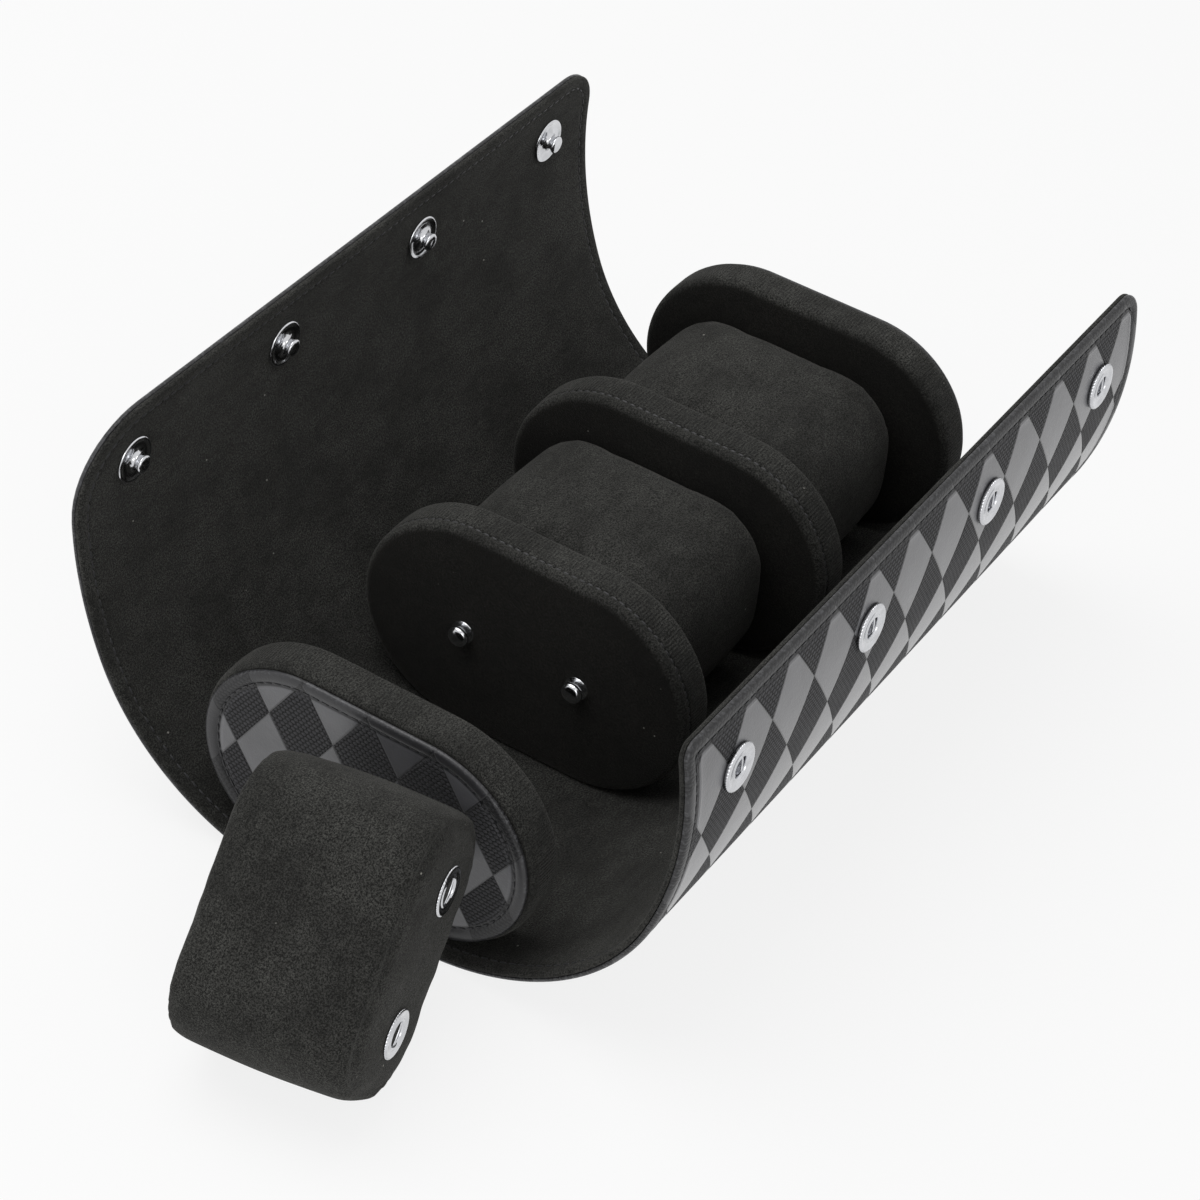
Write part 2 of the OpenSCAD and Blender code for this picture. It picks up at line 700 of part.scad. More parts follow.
base_skin();
base_board();
base_lining();
left_lower_skin();
left_lower_board();
left_lower_lining();
left_middle_skin();
left_middle_board();
left_middle_lining();
left_tip_skin();
left_tip_board();
left_tip_lining();
right_lower_skin();
right_lower_board();
right_lower_lining();
right_middle_skin();
right_middle_board();
right_middle_lining();
right_tip_skin();
right_tip_board();
right_tip_lining();
front_cap_core();
front_cap_cover();
front_cap_face();
front_divider_core();
front_divider_cover();
front_divider_studs();
rear_divider_core();
rear_divider_cover();
rear_divider_studs();
rear_cap_core();
rear_cap_cover();
rear_cap_face();
rear_cap_studs();
front_cushion_core();
front_cushion_cover();
front_cushion_sockets();
middle_cushion_core();
middle_cushion_cover();
middle_cushion_sockets();
rear_cushion_core();
rear_cushion_cover();
rear_cushion_sockets();
left_studs();
left_stud_caps();
right_sockets();
right_socket_caps();
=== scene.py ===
import math

import bmesh
import bpy
import numpy as np
from bpy.props import FloatProperty, FloatVectorProperty, IntProperty, PointerProperty
from mathutils import Matrix, Vector


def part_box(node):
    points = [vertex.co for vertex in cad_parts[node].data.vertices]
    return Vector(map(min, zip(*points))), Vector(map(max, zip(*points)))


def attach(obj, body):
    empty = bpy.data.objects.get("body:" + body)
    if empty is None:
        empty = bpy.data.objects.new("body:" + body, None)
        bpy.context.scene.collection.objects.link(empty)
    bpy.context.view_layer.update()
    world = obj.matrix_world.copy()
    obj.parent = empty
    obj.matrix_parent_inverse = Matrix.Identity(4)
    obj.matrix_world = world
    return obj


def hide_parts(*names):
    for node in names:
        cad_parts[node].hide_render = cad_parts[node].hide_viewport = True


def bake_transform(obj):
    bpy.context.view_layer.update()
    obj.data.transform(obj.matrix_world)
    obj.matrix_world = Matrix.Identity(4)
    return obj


bl_info = {
    "name": "Watch Travel Case",
    "version": (1, 0, 0),
    "blender": (4, 5, 0),
    "location": "3D View > Sidebar > Watch Case",
    "description": "Builds a soft three-place watch roll, opened out",
    "category": "Object",
}

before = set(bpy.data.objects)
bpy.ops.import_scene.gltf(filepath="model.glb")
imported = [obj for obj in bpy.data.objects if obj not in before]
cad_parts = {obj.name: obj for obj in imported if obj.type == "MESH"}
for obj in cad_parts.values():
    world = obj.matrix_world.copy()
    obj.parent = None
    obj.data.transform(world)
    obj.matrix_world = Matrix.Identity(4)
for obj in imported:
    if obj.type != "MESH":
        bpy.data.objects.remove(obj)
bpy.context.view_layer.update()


def mm(value):
    """Metres from millimetres."""
    return value / 1000


def tone(red, green, blue):
    """A linear colour from its screen values of 0 to 255."""
    return tuple(((c / 255 + 0.055) / 1.055) ** 2.4 if c > 10 else c / 255 / 12.92
                 for c in (red, green, blue))


def shaded(colour, share):
    """A colour made darker or lighter by a share."""
    return [c * share for c in colour]


def size(name, words, millimetres):
    """A length that a user may change."""
    return FloatProperty(name=name, description=words, default=mm(millimetres), unit="LENGTH", precision=5)


def shade(name, words, red, green, blue):
    """A colour that a user may change."""
    return FloatVectorProperty(name=name, description=words, default=tone(red, green, blue),
                               subtype="COLOR", min=0, max=1)


# The sizes that the CAD frame gives
roll_low, roll_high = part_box("base_skin")
disc_low, disc_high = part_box("front_divider_cover")
cushion_low, cushion_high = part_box("middle_cushion_cover")
HALF_ROLL = roll_high.x
DISC_WIDTH = disc_high.y - disc_low.y
DISC_HEIGHT = disc_high.z - disc_low.z
DISC_MIDDLE = (disc_low.z + disc_high.z) / 2
WRAP_THICKNESS = disc_low.z
CUSHION_LENGTH = cushion_high.x - cushion_low.x


class StudFlapShape(bpy.types.PropertyGroup):
    """How the flap that carries the studs rises and curls"""
    curve_radius: size("Curve radius", "Radius of the leather where the flap rises", 60)
    curve_turn: FloatProperty(name="Curve turn", description="How far that curve turns",
                              default=math.radians(68), subtype="ANGLE")
    upper_radius: size("Upper radius", "Radius of the leather further up", 110)
    base_length: size("Base", "Leather from the flat middle to the first fold", 18)
    lower_length: size("Lower part", "Leather from the first fold to the second", 34)
    middle_length: size("Middle part", "Leather from the second fold to the third", 38)
    tip_length: size("Tip", "Leather from the third fold to the edge", 41)
    front_corner: size("Front corner", "Radius of the front corner", 22)
    rear_corner: size("Rear corner", "Radius of the rear corner", 12)
    snap_inset: size("Snap inset", "Distance of the snaps from the edge", 14.75)


class SocketFlapShape(bpy.types.PropertyGroup):
    """How the flap that carries the sockets rises and curls"""
    curve_radius: size("Curve radius", "Radius of the leather where the flap rises", 64)
    curve_turn: FloatProperty(name="Curve turn", description="How far that curve turns",
                              default=math.radians(70), subtype="ANGLE")
    upper_radius: size("Upper radius", "Radius of the leather further up", 95)
    base_length: size("Base", "Leather from the flat middle to the first fold", 16.5)
    lower_length: size("Lower part", "Leather from the first fold to the second", 31)
    middle_length: size("Middle part", "Leather from the second fold to the third", 30.5)
    tip_length: size("Tip", "Leather from the third fold to the edge", 55.5)
    front_corner: size("Front corner", "Radius of the front corner", 4)
    rear_corner: size("Rear corner", "Radius of the rear corner", 6)
    snap_inset: size("Snap inset", "Distance of the snaps from the edge", 17.25)


class WrapShape(bpy.types.PropertyGroup):
    """Edges, folds and mesh of the wrap"""
    hem: size("Hem", "Distance of the stitched groove from the edge", 3.3)
    bend: size("Bend", "Length over which the leather bends at a fold, each way", 7)
    row_pitch: size("Row pitch", "Distance between the rows of its mesh", 2)
    column_pitch: size("Column pitch", "Distance between the columns of its mesh", 3)


class SnapShape(bpy.types.PropertyGroup):
    """Snaps, ball studs and their sockets"""
    count: IntProperty(name="Snaps", description="Snaps along each flap", default=4, min=1)
    spacing: size("Spacing", "Distance from one snap to the next", 56)
    pair_spacing: size("Pair spacing", "Distance between the two studs of a disc", 32)
    press: size("Press", "How deep a snap presses into the sheet round it", 0.2)


class CushionShape(bpy.types.PropertyGroup):
    """Size and fullness of a cushion"""
    width: size("Width", "Width of a cushion between its seams", 67)
    height: size("Height", "Height of a cushion between its seams", 46)
    corner: size("Corner", "Radius of its corners", 18)
    crown: size("Crown", "How far its sides swell in the middle", 0.6)
    edge: size("Edge", "Radius of the edge round an end panel", 3)
    seam: size("Seam", "Distance of the seam from the outline of an end panel", 4)
    seam_depth: size("Seam depth", "How deep the seam is drawn in", 0.8)
    seam_width: size("Seam width", "Width of the furrow along the seam", 1.3)
    cloth: size("Cloth mesh", "Spacing of the mesh that is simulated as cloth", 2.2)
    swell: size("Swell", "Most that the filled cloth may move out", 1.0)
    filling: FloatProperty(name="Filling", description="Pressure of the filling in the simulation", default=6,
                           min=0)
    slack: FloatProperty(name="Slack", description="Spare cloth, as a share of its length", default=0.006,
                         min=0, max=0.2, subtype="FACTOR")
    lean: FloatProperty(name="Lean", description="How far the loose cushion leans back from the upright",
                        default=math.radians(44), subtype="ANGLE")
    turn: FloatProperty(name="Turn", description="How far the loose cushion is turned",
                        default=math.radians(9), subtype="ANGLE")
    shift: size("Shift", "Sideways place of the loose cushion", -15.5)


class StitchShape(bpy.types.PropertyGroup):
    """Sewing thread"""
    pitch: size("Pitch", "Distance from one stitch to the next", 2.6)
    length: size("Length", "Length of a stitch", 2.15)
    thickness: size("Thickness", "Thickness of the thread", 0.5)


class CaseColours(bpy.types.PropertyGroup):
    """Colours of the leather, suede and metal"""
    smooth_leather: shade("Smooth leather", "Smooth lozenges of the outer leather", 84, 84, 87)
    pressed_leather: shade("Pressed leather", "Grained lozenges of the outer leather", 40, 40, 42)
    suede: shade("Suede", "Deep shade of the suede", 19, 19, 18)
    nap: shade("Raised nap", "Suede where its nap is brushed up", 78, 78, 75)
    # The discs' faces take these darker suede colours as painted shade.
    disc_suede: shade("Disc suede", "Deep shade of the suede on the faces of the discs", 12, 12, 11)
    disc_nap: shade("Disc nap", "Raised nap on the faces of the discs", 38, 37, 34)
    thread: shade("Thread", "Sewing thread", 40, 40, 42)
    metal: shade("Metal", "Polished metal of the snaps", 208, 209, 212)
    board: shade("Board", "Stiffener board", 138, 122, 98)
    foam: shade("Foam", "Foam of the cushions", 217, 210, 192)


class StageLook(bpy.types.PropertyGroup):
    """Floor, light and camera"""
    floor: shade("Floor", "Colour of the floor", 251, 251, 251)
    sky: FloatProperty(name="Sky", description="Strength of the light from all round", default=0.52, min=0)
    lamp: FloatProperty(name="Lamp", description="Power of the main soft light, in watts", default=5.5, min=0)
    glow: FloatProperty(name="Glow", description="How far the floor is lifted to white where it is looked at",
                        default=0.86, min=0, max=1, subtype="FACTOR")
    camera_place: FloatVectorProperty(name="Camera place", description="Where the camera stands",
                                      subtype="XYZ", unit="LENGTH", default=(-0.57642, -0.31467, 0.58126))
    lens: FloatProperty(name="Lens", description="Focal length of the camera", default=106.79, unit="CAMERA")


class WatchCase(bpy.types.PropertyGroup):
    """All that a user would change on the case"""
    stud_flap: PointerProperty(type=StudFlapShape, name="Stud flap", description="Shape of the stud flap")
    socket_flap: PointerProperty(type=SocketFlapShape, name="Socket flap",
                                 description="Shape of the socket flap")
    wrap: PointerProperty(type=WrapShape, name="Wrap", description="Edges and mesh of the wrap")
    snaps: PointerProperty(type=SnapShape, name="Snaps", description="Snaps and studs")
    cushions: PointerProperty(type=CushionShape, name="Cushions", description="Cushions")
    stitches: PointerProperty(type=StitchShape, name="Stitches", description="Sewing thread")
    colours: PointerProperty(type=CaseColours, name="Colours", description="Colours of the case")
    stage: PointerProperty(type=StageLook, name="Stage", description="Floor, light and camera")


def operator(operation, turned=False):
    """A method of a wire that adds a Math node. Turned, the wire comes after the other value."""
    def method(self, *others):
        """This wire worked out with the other values."""
        return self.math(operation, *((*others, self) if turned else (self, *others)))
    return method


class Wire:
    """A node's output that takes part in sums. Each operator adds its Math node."""

    def __init__(self, recipe, node, output=0):
        self.recipe, self.node, self.output = recipe, node, output

    @property
    def socket(self):
        """The socket that links start from."""
        return Recipe.socket(self.node.outputs, self.output)

    def other(self, output):
        """Another output of the same node."""
        return Wire(self.recipe, self.node, output)

    def math(self, operation, *values):
        """A Math node on some values."""
        return self.recipe.add("ShaderNodeMath", {"operation": operation}, values)

    __add__, __radd__ = operator("ADD"), operator("ADD", turned=True)
    __sub__, __rsub__ = operator("SUBTRACT"), operator("SUBTRACT", turned=True)
    __mul__, __rmul__ = operator("MULTIPLY"), operator("MULTIPLY", turned=True)
    __truediv__ = operator("DIVIDE")
    __pow__ = operator("POWER")
    __mod__ = operator("FLOORED_MODULO")
    floor = operator("FLOOR")
    sine = operator("SINE")
    size = operator("ABSOLUTE")
    at_least = operator("MAXIMUM")

    def step(self, low, high):
        """0 below low, 1 above high, smooth between."""
        return self.recipe.add("ShaderNodeMapRange", {"interpolation_type": "SMOOTHSTEP"},
                               {"Value": self, "From Min": low, "From Max": high})


class Recipe:
    """The nodes of one material or of one Geometry Nodes tree."""

    def __init__(self, tree):
        self.tree = tree

    @staticmethod
    def socket(sockets, key):
        """A socket by number, identifier or name."""
        if isinstance(key, int):
            return sockets[key]
        for word in ("identifier", "name"):
            for found in sockets:
                if getattr(found, word) == key and found.enabled:
                    return found
        raise KeyError(f"no socket named {key}")

    def add(self, kind, settings=None, inputs=None, output=0):
        """Adds a node: its settings are set first, then the values or links of its sockets."""
        node = self.tree.nodes.new(kind)
        for name, value in (settings or {}).items():
            setattr(node, name, value)
        named = inputs or {}
        for key, value in (named.items() if isinstance(named, dict) else enumerate(named)):
            socket = self.socket(node.inputs, key)
            if isinstance(value, Wire):
                self.tree.links.new(value.socket, socket)
            else:
                socket.default_value = value
        return Wire(self, node, output)

    def mix(self, mask, low, high):
        """A colour between two."""
        low, high = (c if isinstance(c, Wire) else (*c, 1)[:4] for c in (low, high))
        return self.add("ShaderNodeMix", {"data_type": "RGBA"},
                        {"Factor_Float": mask, "A_Color": low, "B_Color": high}, "Result_Color")

    def noise(self, place, grain, detail=3.0, roughness=0.5):
        """Soft random shades whose marks are about one grain long."""
        return self.add("ShaderNodeTexNoise", None, {"Vector": place, "Scale": 1 / grain, "Detail": detail,
                                                     "Roughness": roughness})

    def cells(self, place, grain):
        """Distance from the nearest of many scattered points."""
        return self.add("ShaderNodeTexVoronoi", {"feature": "F1"}, {"Vector": place, "Scale": 1 / grain})

    def stretched(self, place, x, y, z):
        """A place scaled by its own share along each axis."""
        return self.add("ShaderNodeMapping", None, {"Vector": place, "Scale": (x, y, z)})

    def attribute(self, name, output="Vector"):
        """A value that the mesh keeps for each point."""
        return self.add("ShaderNodeAttribute", {"attribute_name": name}, None, output)

    def object_place(self):
        """Place in the object's own space."""
        return self.add("ShaderNodeTexCoord", None, None, "Object")

    def parts(self, place):
        """X, Y and Z of a place."""
        split = self.add("ShaderNodeSeparateXYZ", None, [place])
        return split, split.other(1), split.other(2)

    def bump(self, height, distance, strength=1.0):
        """A normal that follows fine heights."""
        return self.add("ShaderNodeBump", None,
                        {"Height": height, "Distance": distance, "Strength": strength})


def material(name):
    """A new material, and the recipe that its nodes go into."""
    made = bpy.data.materials.new(name)
    made.use_nodes = True
    made.node_tree.nodes.clear()
    return made, Recipe(made.node_tree)


def finish(recipe, **inputs):
    """Ends a material in its shader. Words of a socket's name are joined by underscores."""
    named = {key.replace("_", " "): value for key, value in inputs.items()}
    shader = recipe.add("ShaderNodeBsdfPrincipled", None, named)
    recipe.add("ShaderNodeOutputMaterial", None, {"Surface": shader})


def leather(colours):
    """Outer leather: tall lozenges, smooth and grained in turn, with a soft waxed shine, painted highlights
    on the grain's seeds, the rubbed rim and the crease, and painted shade between the seeds.
    """
    made, recipe = material("lozenge_leather")
    place = recipe.attribute("place")
    inset = recipe.attribute("inset", "Fac")
    along, across, _ = recipe.parts(place)
    wide, tall = mm(17.5), mm(27)
    left, right = along / wide + across / tall, along / wide - across / tall
    grained = (left.floor() + right.floor()) % 2
    border = (left % 1 - 0.5).size().at_least((right % 1 - 0.5).size())
    line = border.step(0.472, 0.492)
    seed_long, seed_wide = mm(1.45), mm(1.0)
    row = (across / seed_wide).floor()
    seed_x = (along / seed_long + row * 0.5) % 1 - 0.5
    seed_y = (across / seed_wide) % 1 - 0.5
    seed = (1 - (seed_x * 2) ** 2 - (seed_y * 2) ** 2).at_least(0) ** 0.5
    field = inset.step(mm(3.9), mm(4.3))
    seeds = seed * grained
    pebble = recipe.cells(place, mm(0.55))
    fine = recipe.noise(place, mm(0.25), 2)
    slow = recipe.noise(place, mm(9), 3)
    # Painted highlight: a thin lighter line along the crease.
    crease_highlight = (1 - (inset - mm(4.7)).size() / mm(0.35)).at_least(0)
    rim = inset.step(mm(0.9), mm(0.3))
    # The rim is lighter where it is rubbed, partly wear and partly painted highlight; the crease line joins
    # it as painted highlight.
    wear_and_highlight = (rim * recipe.noise(place, mm(0.8), 3).step(0.48, 0.7)).at_least(crease_highlight * 0.8)
    rough = 0.34 + slow * 0.14 + grained * 0.16 + fine * 0.06 - wear_and_highlight * 0.08
    plain = recipe.mix(slow.step(0.3, 0.7), shaded(colours.smooth_leather, 0.84),
                       shaded(colours.smooth_leather, 1.12))
    # Painted shade and highlight on the grain: near black between the seeds, bright on each seed's top.
    pressed = recipe.mix(seed.step(0.3, 0.9), shaded(colours.pressed_leather, 0.1),
                         shaded(colours.pressed_leather, 1.9))
    body = recipe.mix(grained, plain, pressed)
    body = recipe.mix(line * 0.7, body, shaded(colours.pressed_leather, 0.35))
    body = recipe.mix((1 - field) * 0.8, body, shaded(colours.pressed_leather, 0.55))
    # Rim and crease painted lighter: wear, with painted highlight on the rim and along the crease.
    body = recipe.mix(wear_and_highlight * 0.35, body, shaded(colours.smooth_leather, 1.4))
    height = seeds * (0.5 + field * 0.5) - line * 0.5 + slow * 0.6
    height = height + (1 - grained) * (pebble * 0.1 + fine * 0.1)
    finish(recipe, Base_Color=body, Roughness=rough, Normal=recipe.bump(height, mm(0.42), 1.0),
           Specular_IOR_Level=0.28, Coat_Weight=(1 - grained * field) * (0.35 + field * 0.5),
           Coat_Roughness=0.24)
    return made


def suede(name, colour, nap, attribute=False):
    """Short napped suede: brushed patches, dense dark and light tufts and a little lint."""
    made, recipe = material(name)
    place = recipe.attribute("place") if attribute else recipe.object_place()
    body, height, fibres = napped(recipe, place, colour, nap)
    finish_suede(recipe, body, height, fibres)
    return made


def napped(recipe, place, colour, nap):
    """Colour and height of the nap, and its finest grain."""
    patches = recipe.noise(place, mm(19), 4, 0.6)
    strokes = recipe.noise(recipe.stretched(place, 0.4, 1, 1), mm(3.2), 3, 0.6)
    tufts = recipe.noise(place, mm(0.42), 2, 0.6)
    fibres = recipe.noise(place, mm(0.2), 2, 0.6)
    speckle = (tufts * 0.5 + fibres * 0.5).step(0.4, 0.64)
    brushed = patches.step(0.38, 0.62) * 0.6 + strokes.step(0.32, 0.68) * 0.4
    body = recipe.mix(speckle * (0.4 + brushed * 0.6), colour, nap)
    lint = recipe.cells(place, mm(9)).step(0.036, 0.02)
    return recipe.mix(lint, body, tone(150, 148, 142)), tufts * 0.6 + fibres * 0.4, fibres


def finish_suede(recipe, body, height, fibres):
    """Ends a suede material: rough, with a faint sheen."""
    finish(recipe, Base_Color=body, Roughness=0.86 + fibres * 0.1,
           Normal=recipe.bump(height, mm(0.5), 0.8), Sheen_Weight=0.1, Sheen_Roughness=0.4,
           Sheen_Tint=(0.75, 0.74, 0.7, 1), Specular_IOR_Level=0.15)


def disc_suede(colours):
    """Suede of the discs: faces in darker colours as painted shade, the rim in the plain suede colours, and a
    finely ribbed edge.
    """
    made, recipe = material("disc_nap")
    place = recipe.object_place()
    inset = recipe.attribute("inset", "Fac")
    around, depth, _ = recipe.parts(recipe.attribute("place"))
    face, height, fibres = napped(recipe, place, colours.disc_suede, colours.disc_nap)
    rim, _, _ = napped(recipe, place, colours.suede, colours.nap)
    # Faces away from the outline in the darker colours as painted shade; the rim in the plain suede.
    body = recipe.mix(inset.step(mm(2.2), mm(0.5)), face, rim)
    band = depth.step(mm(3.3), mm(3.9)) * depth.step(mm(11), mm(10.2))
    rib = (around * (2 * math.pi / mm(0.9))).sine() * band
    finish_suede(recipe, body, height + rib * 0.16, fibres)
    return made


def thread_material(colours):
    """Waxed black thread."""
    made, recipe = material("waxed_thread")
    twist = recipe.noise(recipe.object_place(), mm(0.25), 2)
    body = recipe.mix(twist, shaded(colours.thread, 0.6), shaded(colours.thread, 1.6))
    finish(recipe, Base_Color=body, Roughness=0.38 + twist * 0.15, Normal=recipe.bump(twist, mm(0.1), 0.6))
    return made


def metal_material(colours):
    """Polished nickel plate with faint marks of use."""
    made, recipe = material("polished_metal")
    place = recipe.object_place()
    haze = recipe.noise(place, mm(3), 3)
    marks = recipe.noise(recipe.stretched(place, 1, 6, 1), mm(0.6), 4)
    body = recipe.mix(haze.step(0.3, 0.8), colours.metal, shaded(colours.metal, 0.82))
    finish(recipe, Base_Color=body, Metallic=1.0, Roughness=0.12 + haze * 0.08 + marks.step(0.6, 0.8) * 0.08,
           Normal=recipe.bump(marks, mm(0.01), 0.3))
    return made


def board_material(colours):
    """Grey-brown paper board."""
    made, recipe = material("paper_board")
    place = recipe.object_place()
    pulp = recipe.noise(recipe.stretched(place, 1, 3, 1), mm(0.8), 4)
    body = recipe.mix(pulp, shaded(colours.board, 0.7), shaded(colours.board, 1.15))
    finish(recipe, Base_Color=body, Roughness=0.8 + pulp * 0.15, Normal=recipe.bump(pulp, mm(0.1), 0.5))
    return made


def foam_material(colours):
    """Open foam."""
    made, recipe = material("open_foam")
    pores = recipe.cells(recipe.object_place(), mm(0.9))
    # Painted shade: the pits of the pores are darker.
    body = recipe.mix(pores, shaded(colours.foam, 0.75), colours.foam)
    finish(recipe, Base_Color=body, Roughness=0.85 + pores * 0.1, Normal=recipe.bump(pores, mm(0.4), 0.8))
    return made


FINISHES = {}


def finish_of(name):
    """A finish by name. All are made the first time that one is asked for."""
    if not FINISHES:
        colours = bpy.context.scene.watch_case.colours
        FINISHES.update({
            "leather": leather(colours),
            "lining": suede("lining_nap", colours.suede, colours.nap, attribute=True),
            "disc": disc_suede(colours),
            "cushion": suede("cushion_nap", colours.suede, colours.nap),
            "thread": thread_material(colours),
            "metal": metal_material(colours),
            "board": board_material(colours),
            "foam": foam_material(colours),
        })
    return FINISHES[name]


class Shell:
    """Points and faces of a piece while it is made. Each point keeps its place on the flat sheet."""

    def __init__(self):
        self.points, self.places, self.insets, self.faces = [], [], [], []

    def row(self, points, places=None, inset=0.0):
        """Adds a row of points and gives their numbers."""
        first = len(self.points)
        self.points.extend(tuple(p) for p in points)
        self.places.extend(tuple(p) for p in (points if places is None else places))
        self.insets.extend([inset] * (len(self.points) - first))
        return list(range(first, len(self.points)))

    def strip(self, row, next_row, closed=False, gap=None):
        """Faces between two rows of as many points."""
        count = len(row)
        for k in range(count if closed else count - 1):
            if k != gap:
                n = (k + 1) % count
                self.faces.append((row[k], row[n], next_row[n], next_row[k]))

    def tube(self, rows):
        """Faces between all of some closed rows, each to the next."""
        for row, next_row in zip(rows, rows[1:]):
            self.strip(row, next_row, closed=True)

    def object(self, name, finish_name, sharp=50):
        """The finished piece: closed, with its faces outwards, smooth but for sharp edges."""
        mesh = bpy.data.meshes.new(name)
        mesh.from_pydata(self.points, [], self.faces)
        mesh.attributes.new("place", "FLOAT_VECTOR", "POINT").data.foreach_set(
            "vector", np.array(self.places, np.float32).ravel())
        mesh.attributes.new("inset", "FLOAT", "POINT").data.foreach_set(
            "value", np.array(self.insets, np.float32))
        work = bmesh.new()
        work.from_mesh(mesh)
        bmesh.ops.remove_doubles(work, verts=work.verts, dist=1e-6)
        bmesh.ops.dissolve_degenerate(work, dist=1e-7, edges=work.edges)
        bmesh.ops.recalc_face_normals(work, faces=work.faces)
        work.to_mesh(mesh)
        work.free()
        mesh.shade_smooth()
        mesh.set_sharp_from_angle(angle=math.radians(sharp))
        mesh.materials.append(finish_of(finish_name))
        made = bpy.data.objects.new(name, mesh)
        bpy.context.scene.collection.objects.link(made)
        return made


# Small sizes of the sheets
LEAST_BEND = mm(0.5)
FIRST_STEP = mm(0.05)
HOLE_CLEARANCE = mm(0.6)
PRESS_REACH = mm(6.5)
STUD_HOLE = mm(1.8)
SOCKET_HOLE = mm(3.25)
OUTER_THREAD_DEPTH = mm(0.14)
INNER_THREAD_DEPTH = mm(2.38)
CORNER_STEPS = 12


class Sheet:
    """The flat layout of one stretch of a flap: rows round the leather, columns along the roll."""

    def __init__(self, flap, start, end, corners, wrap):
        self.flap, self.start, self.end, self.corners = flap, start, end, corners
        count = max(2, round((end - start) / wrap.row_pitch))
        hair = FIRST_STEP / (end - start)
        shares = [0, hair] + [k / count for k in range(1, count)] + ([1] if corners else [1 - hair, 1])
        self.shares = np.array(shares)
        self.turns = np.radians(np.linspace(0, 90, CORNER_STEPS + 1)[1:]) if corners else np.array([])
        self.rows = len(self.shares) + len(self.turns)
        self.columns = round(2 * HALF_ROLL / wrap.column_pitch)

    def side(self, inset, end, radius):
        """Places along one end of the roll, at an inset from its edge: x and s."""
        if not self.corners:
            s = self.start + self.shares * (self.end - self.start)
            return np.column_stack([np.full(len(s), end * (HALF_ROLL - inset)), s])
        bend = max(radius - inset, LEAST_BEND)
        x, s = HALF_ROLL - inset - bend, self.end - inset - bend
        straight = self.start + self.shares * (s - self.start)
        xs = np.concatenate([np.full(len(straight), x + bend), x + bend * np.cos(self.turns)])
        return np.column_stack([end * xs, np.concatenate([straight, s + bend * np.sin(self.turns)])])

    def edge(self, inset):
        """Places round the whole edge: up the front, over the top, down the rear."""
        front_r, rear_r = self.corners or (0, 0)
        front, rear = self.side(inset, -1, front_r), self.side(inset, 1, rear_r)
        if not self.corners:
            return np.concatenate([front, rear[::-1]])
        top = np.linspace(front[-1], rear[-1], self.columns + 1)[1:-1]
        return np.concatenate([front, top, rear[::-1]])

    def grid(self, inset):
        """Places of the field inside the last ring."""
        front_r, rear_r = self.corners or (0, 0)
        front, rear = self.side(inset, -1, front_r), self.side(inset, 1, rear_r)
        return np.linspace(front, rear, self.columns + 1, axis=1)

    def face(self, shell, profile, press):
        """One face of the sheet, from its edge inwards. Gives the rings and the field by number."""
        rings = [self.lay(shell, self.edge(inset), depth, inset, press) for inset, depth in profile]
        gap = None if self.corners else self.rows - 1
        for ring, next_ring in zip(rings, rings[1:]):
            shell.strip(ring, next_ring, gap=gap)
        inset, depth = profile[-1]
        places = self.grid(inset)
        field = np.zeros(places.shape[:2], int)
        field[:, 0], field[:, -1] = rings[-1][:self.rows], rings[-1][-self.rows:][::-1]
        inner_rows = self.rows - 1 if self.corners else self.rows
        for i in range(inner_rows):
            field[i, 1:-1] = self.lay(shell, places[i, 1:-1], depth, inset, press)
        if self.corners:
            field[-1, 1:-1] = rings[-1][self.rows:-self.rows]
        return rings, field, places

    def lay(self, shell, places, depth, inset, press):
        """Adds a row of points for some flat places at a depth."""
        x, s = places[:, 0], places[:, 1]
        depths = depth + press * self.flap.pressed(x, s)
        return shell.row(self.flap.point(x, s, depths),
                         np.column_stack([x, s * self.flap.sign, depths]), inset)

    def window(self, places, hole):
        """Rows and columns of the field that enclose a hole."""
        x, s, radius = hole
        clear = radius + HOLE_CLEARANCE
        inside = (abs(places[:, :, 0] - x) < clear) & (abs(places[:, :, 1] - s) < clear)
        rows, columns = np.nonzero(inside)
        return rows.min() - 1, rows.max() + 1, columns.min() - 1, columns.max() + 1

    def build(self, name, outside, inside, finish_name, press=(0, 0), hole_radius=None):
        """The closed sheet between two faces that start from the same edge."""
        shell = Shell()
        faces = [self.face(shell, profile, depth) for profile, depth in zip((outside, inside), press)]
        holes = [(x, s, hole_radius) for x, s in self.flap.snaps()] if self.corners and hole_radius else []
        windows = [self.window(faces[0][2], hole) for hole in holes]
        for _, field, _ in faces:
            for i in range(field.shape[0] - 1):
                for k in range(field.shape[1] - 1):
                    if not any(a <= i < b and c <= k < d for a, b, c, d in windows):
                        shell.faces.append((field[i, k], field[i, k + 1],
                                            field[i + 1, k + 1], field[i + 1, k]))
        for hole, (a, b, c, d) in zip(holes, windows):
            loop = ([(a, k) for k in range(c, d)] + [(i, d) for i in range(a, b)]
                    + [(b, k) for k in range(d, c, -1)] + [(i, c) for i in range(b, a, -1)])
            rims = []
            for (_, field, places), profile in zip(faces, (outside, inside)):
                at = np.array([places[i, k] for i, k in loop])
                out = at - np.array(hole[:2])
                rim = hole[:2] + out / np.linalg.norm(out, axis=1)[:, None] * hole[2]
                rims.append(self.lay(shell, rim, profile[-1][1], profile[-1][0], 0))
                shell.strip([field[i, k] for i, k in loop], rims[-1], closed=True)
            shell.strip(rims[0], rims[1], closed=True)
        ends = [0] if self.corners else [0, self.rows - 1]
        for row in ends:
            shell.faces.append(self.cut(faces, row))
        return shell.object(name, finish_name)

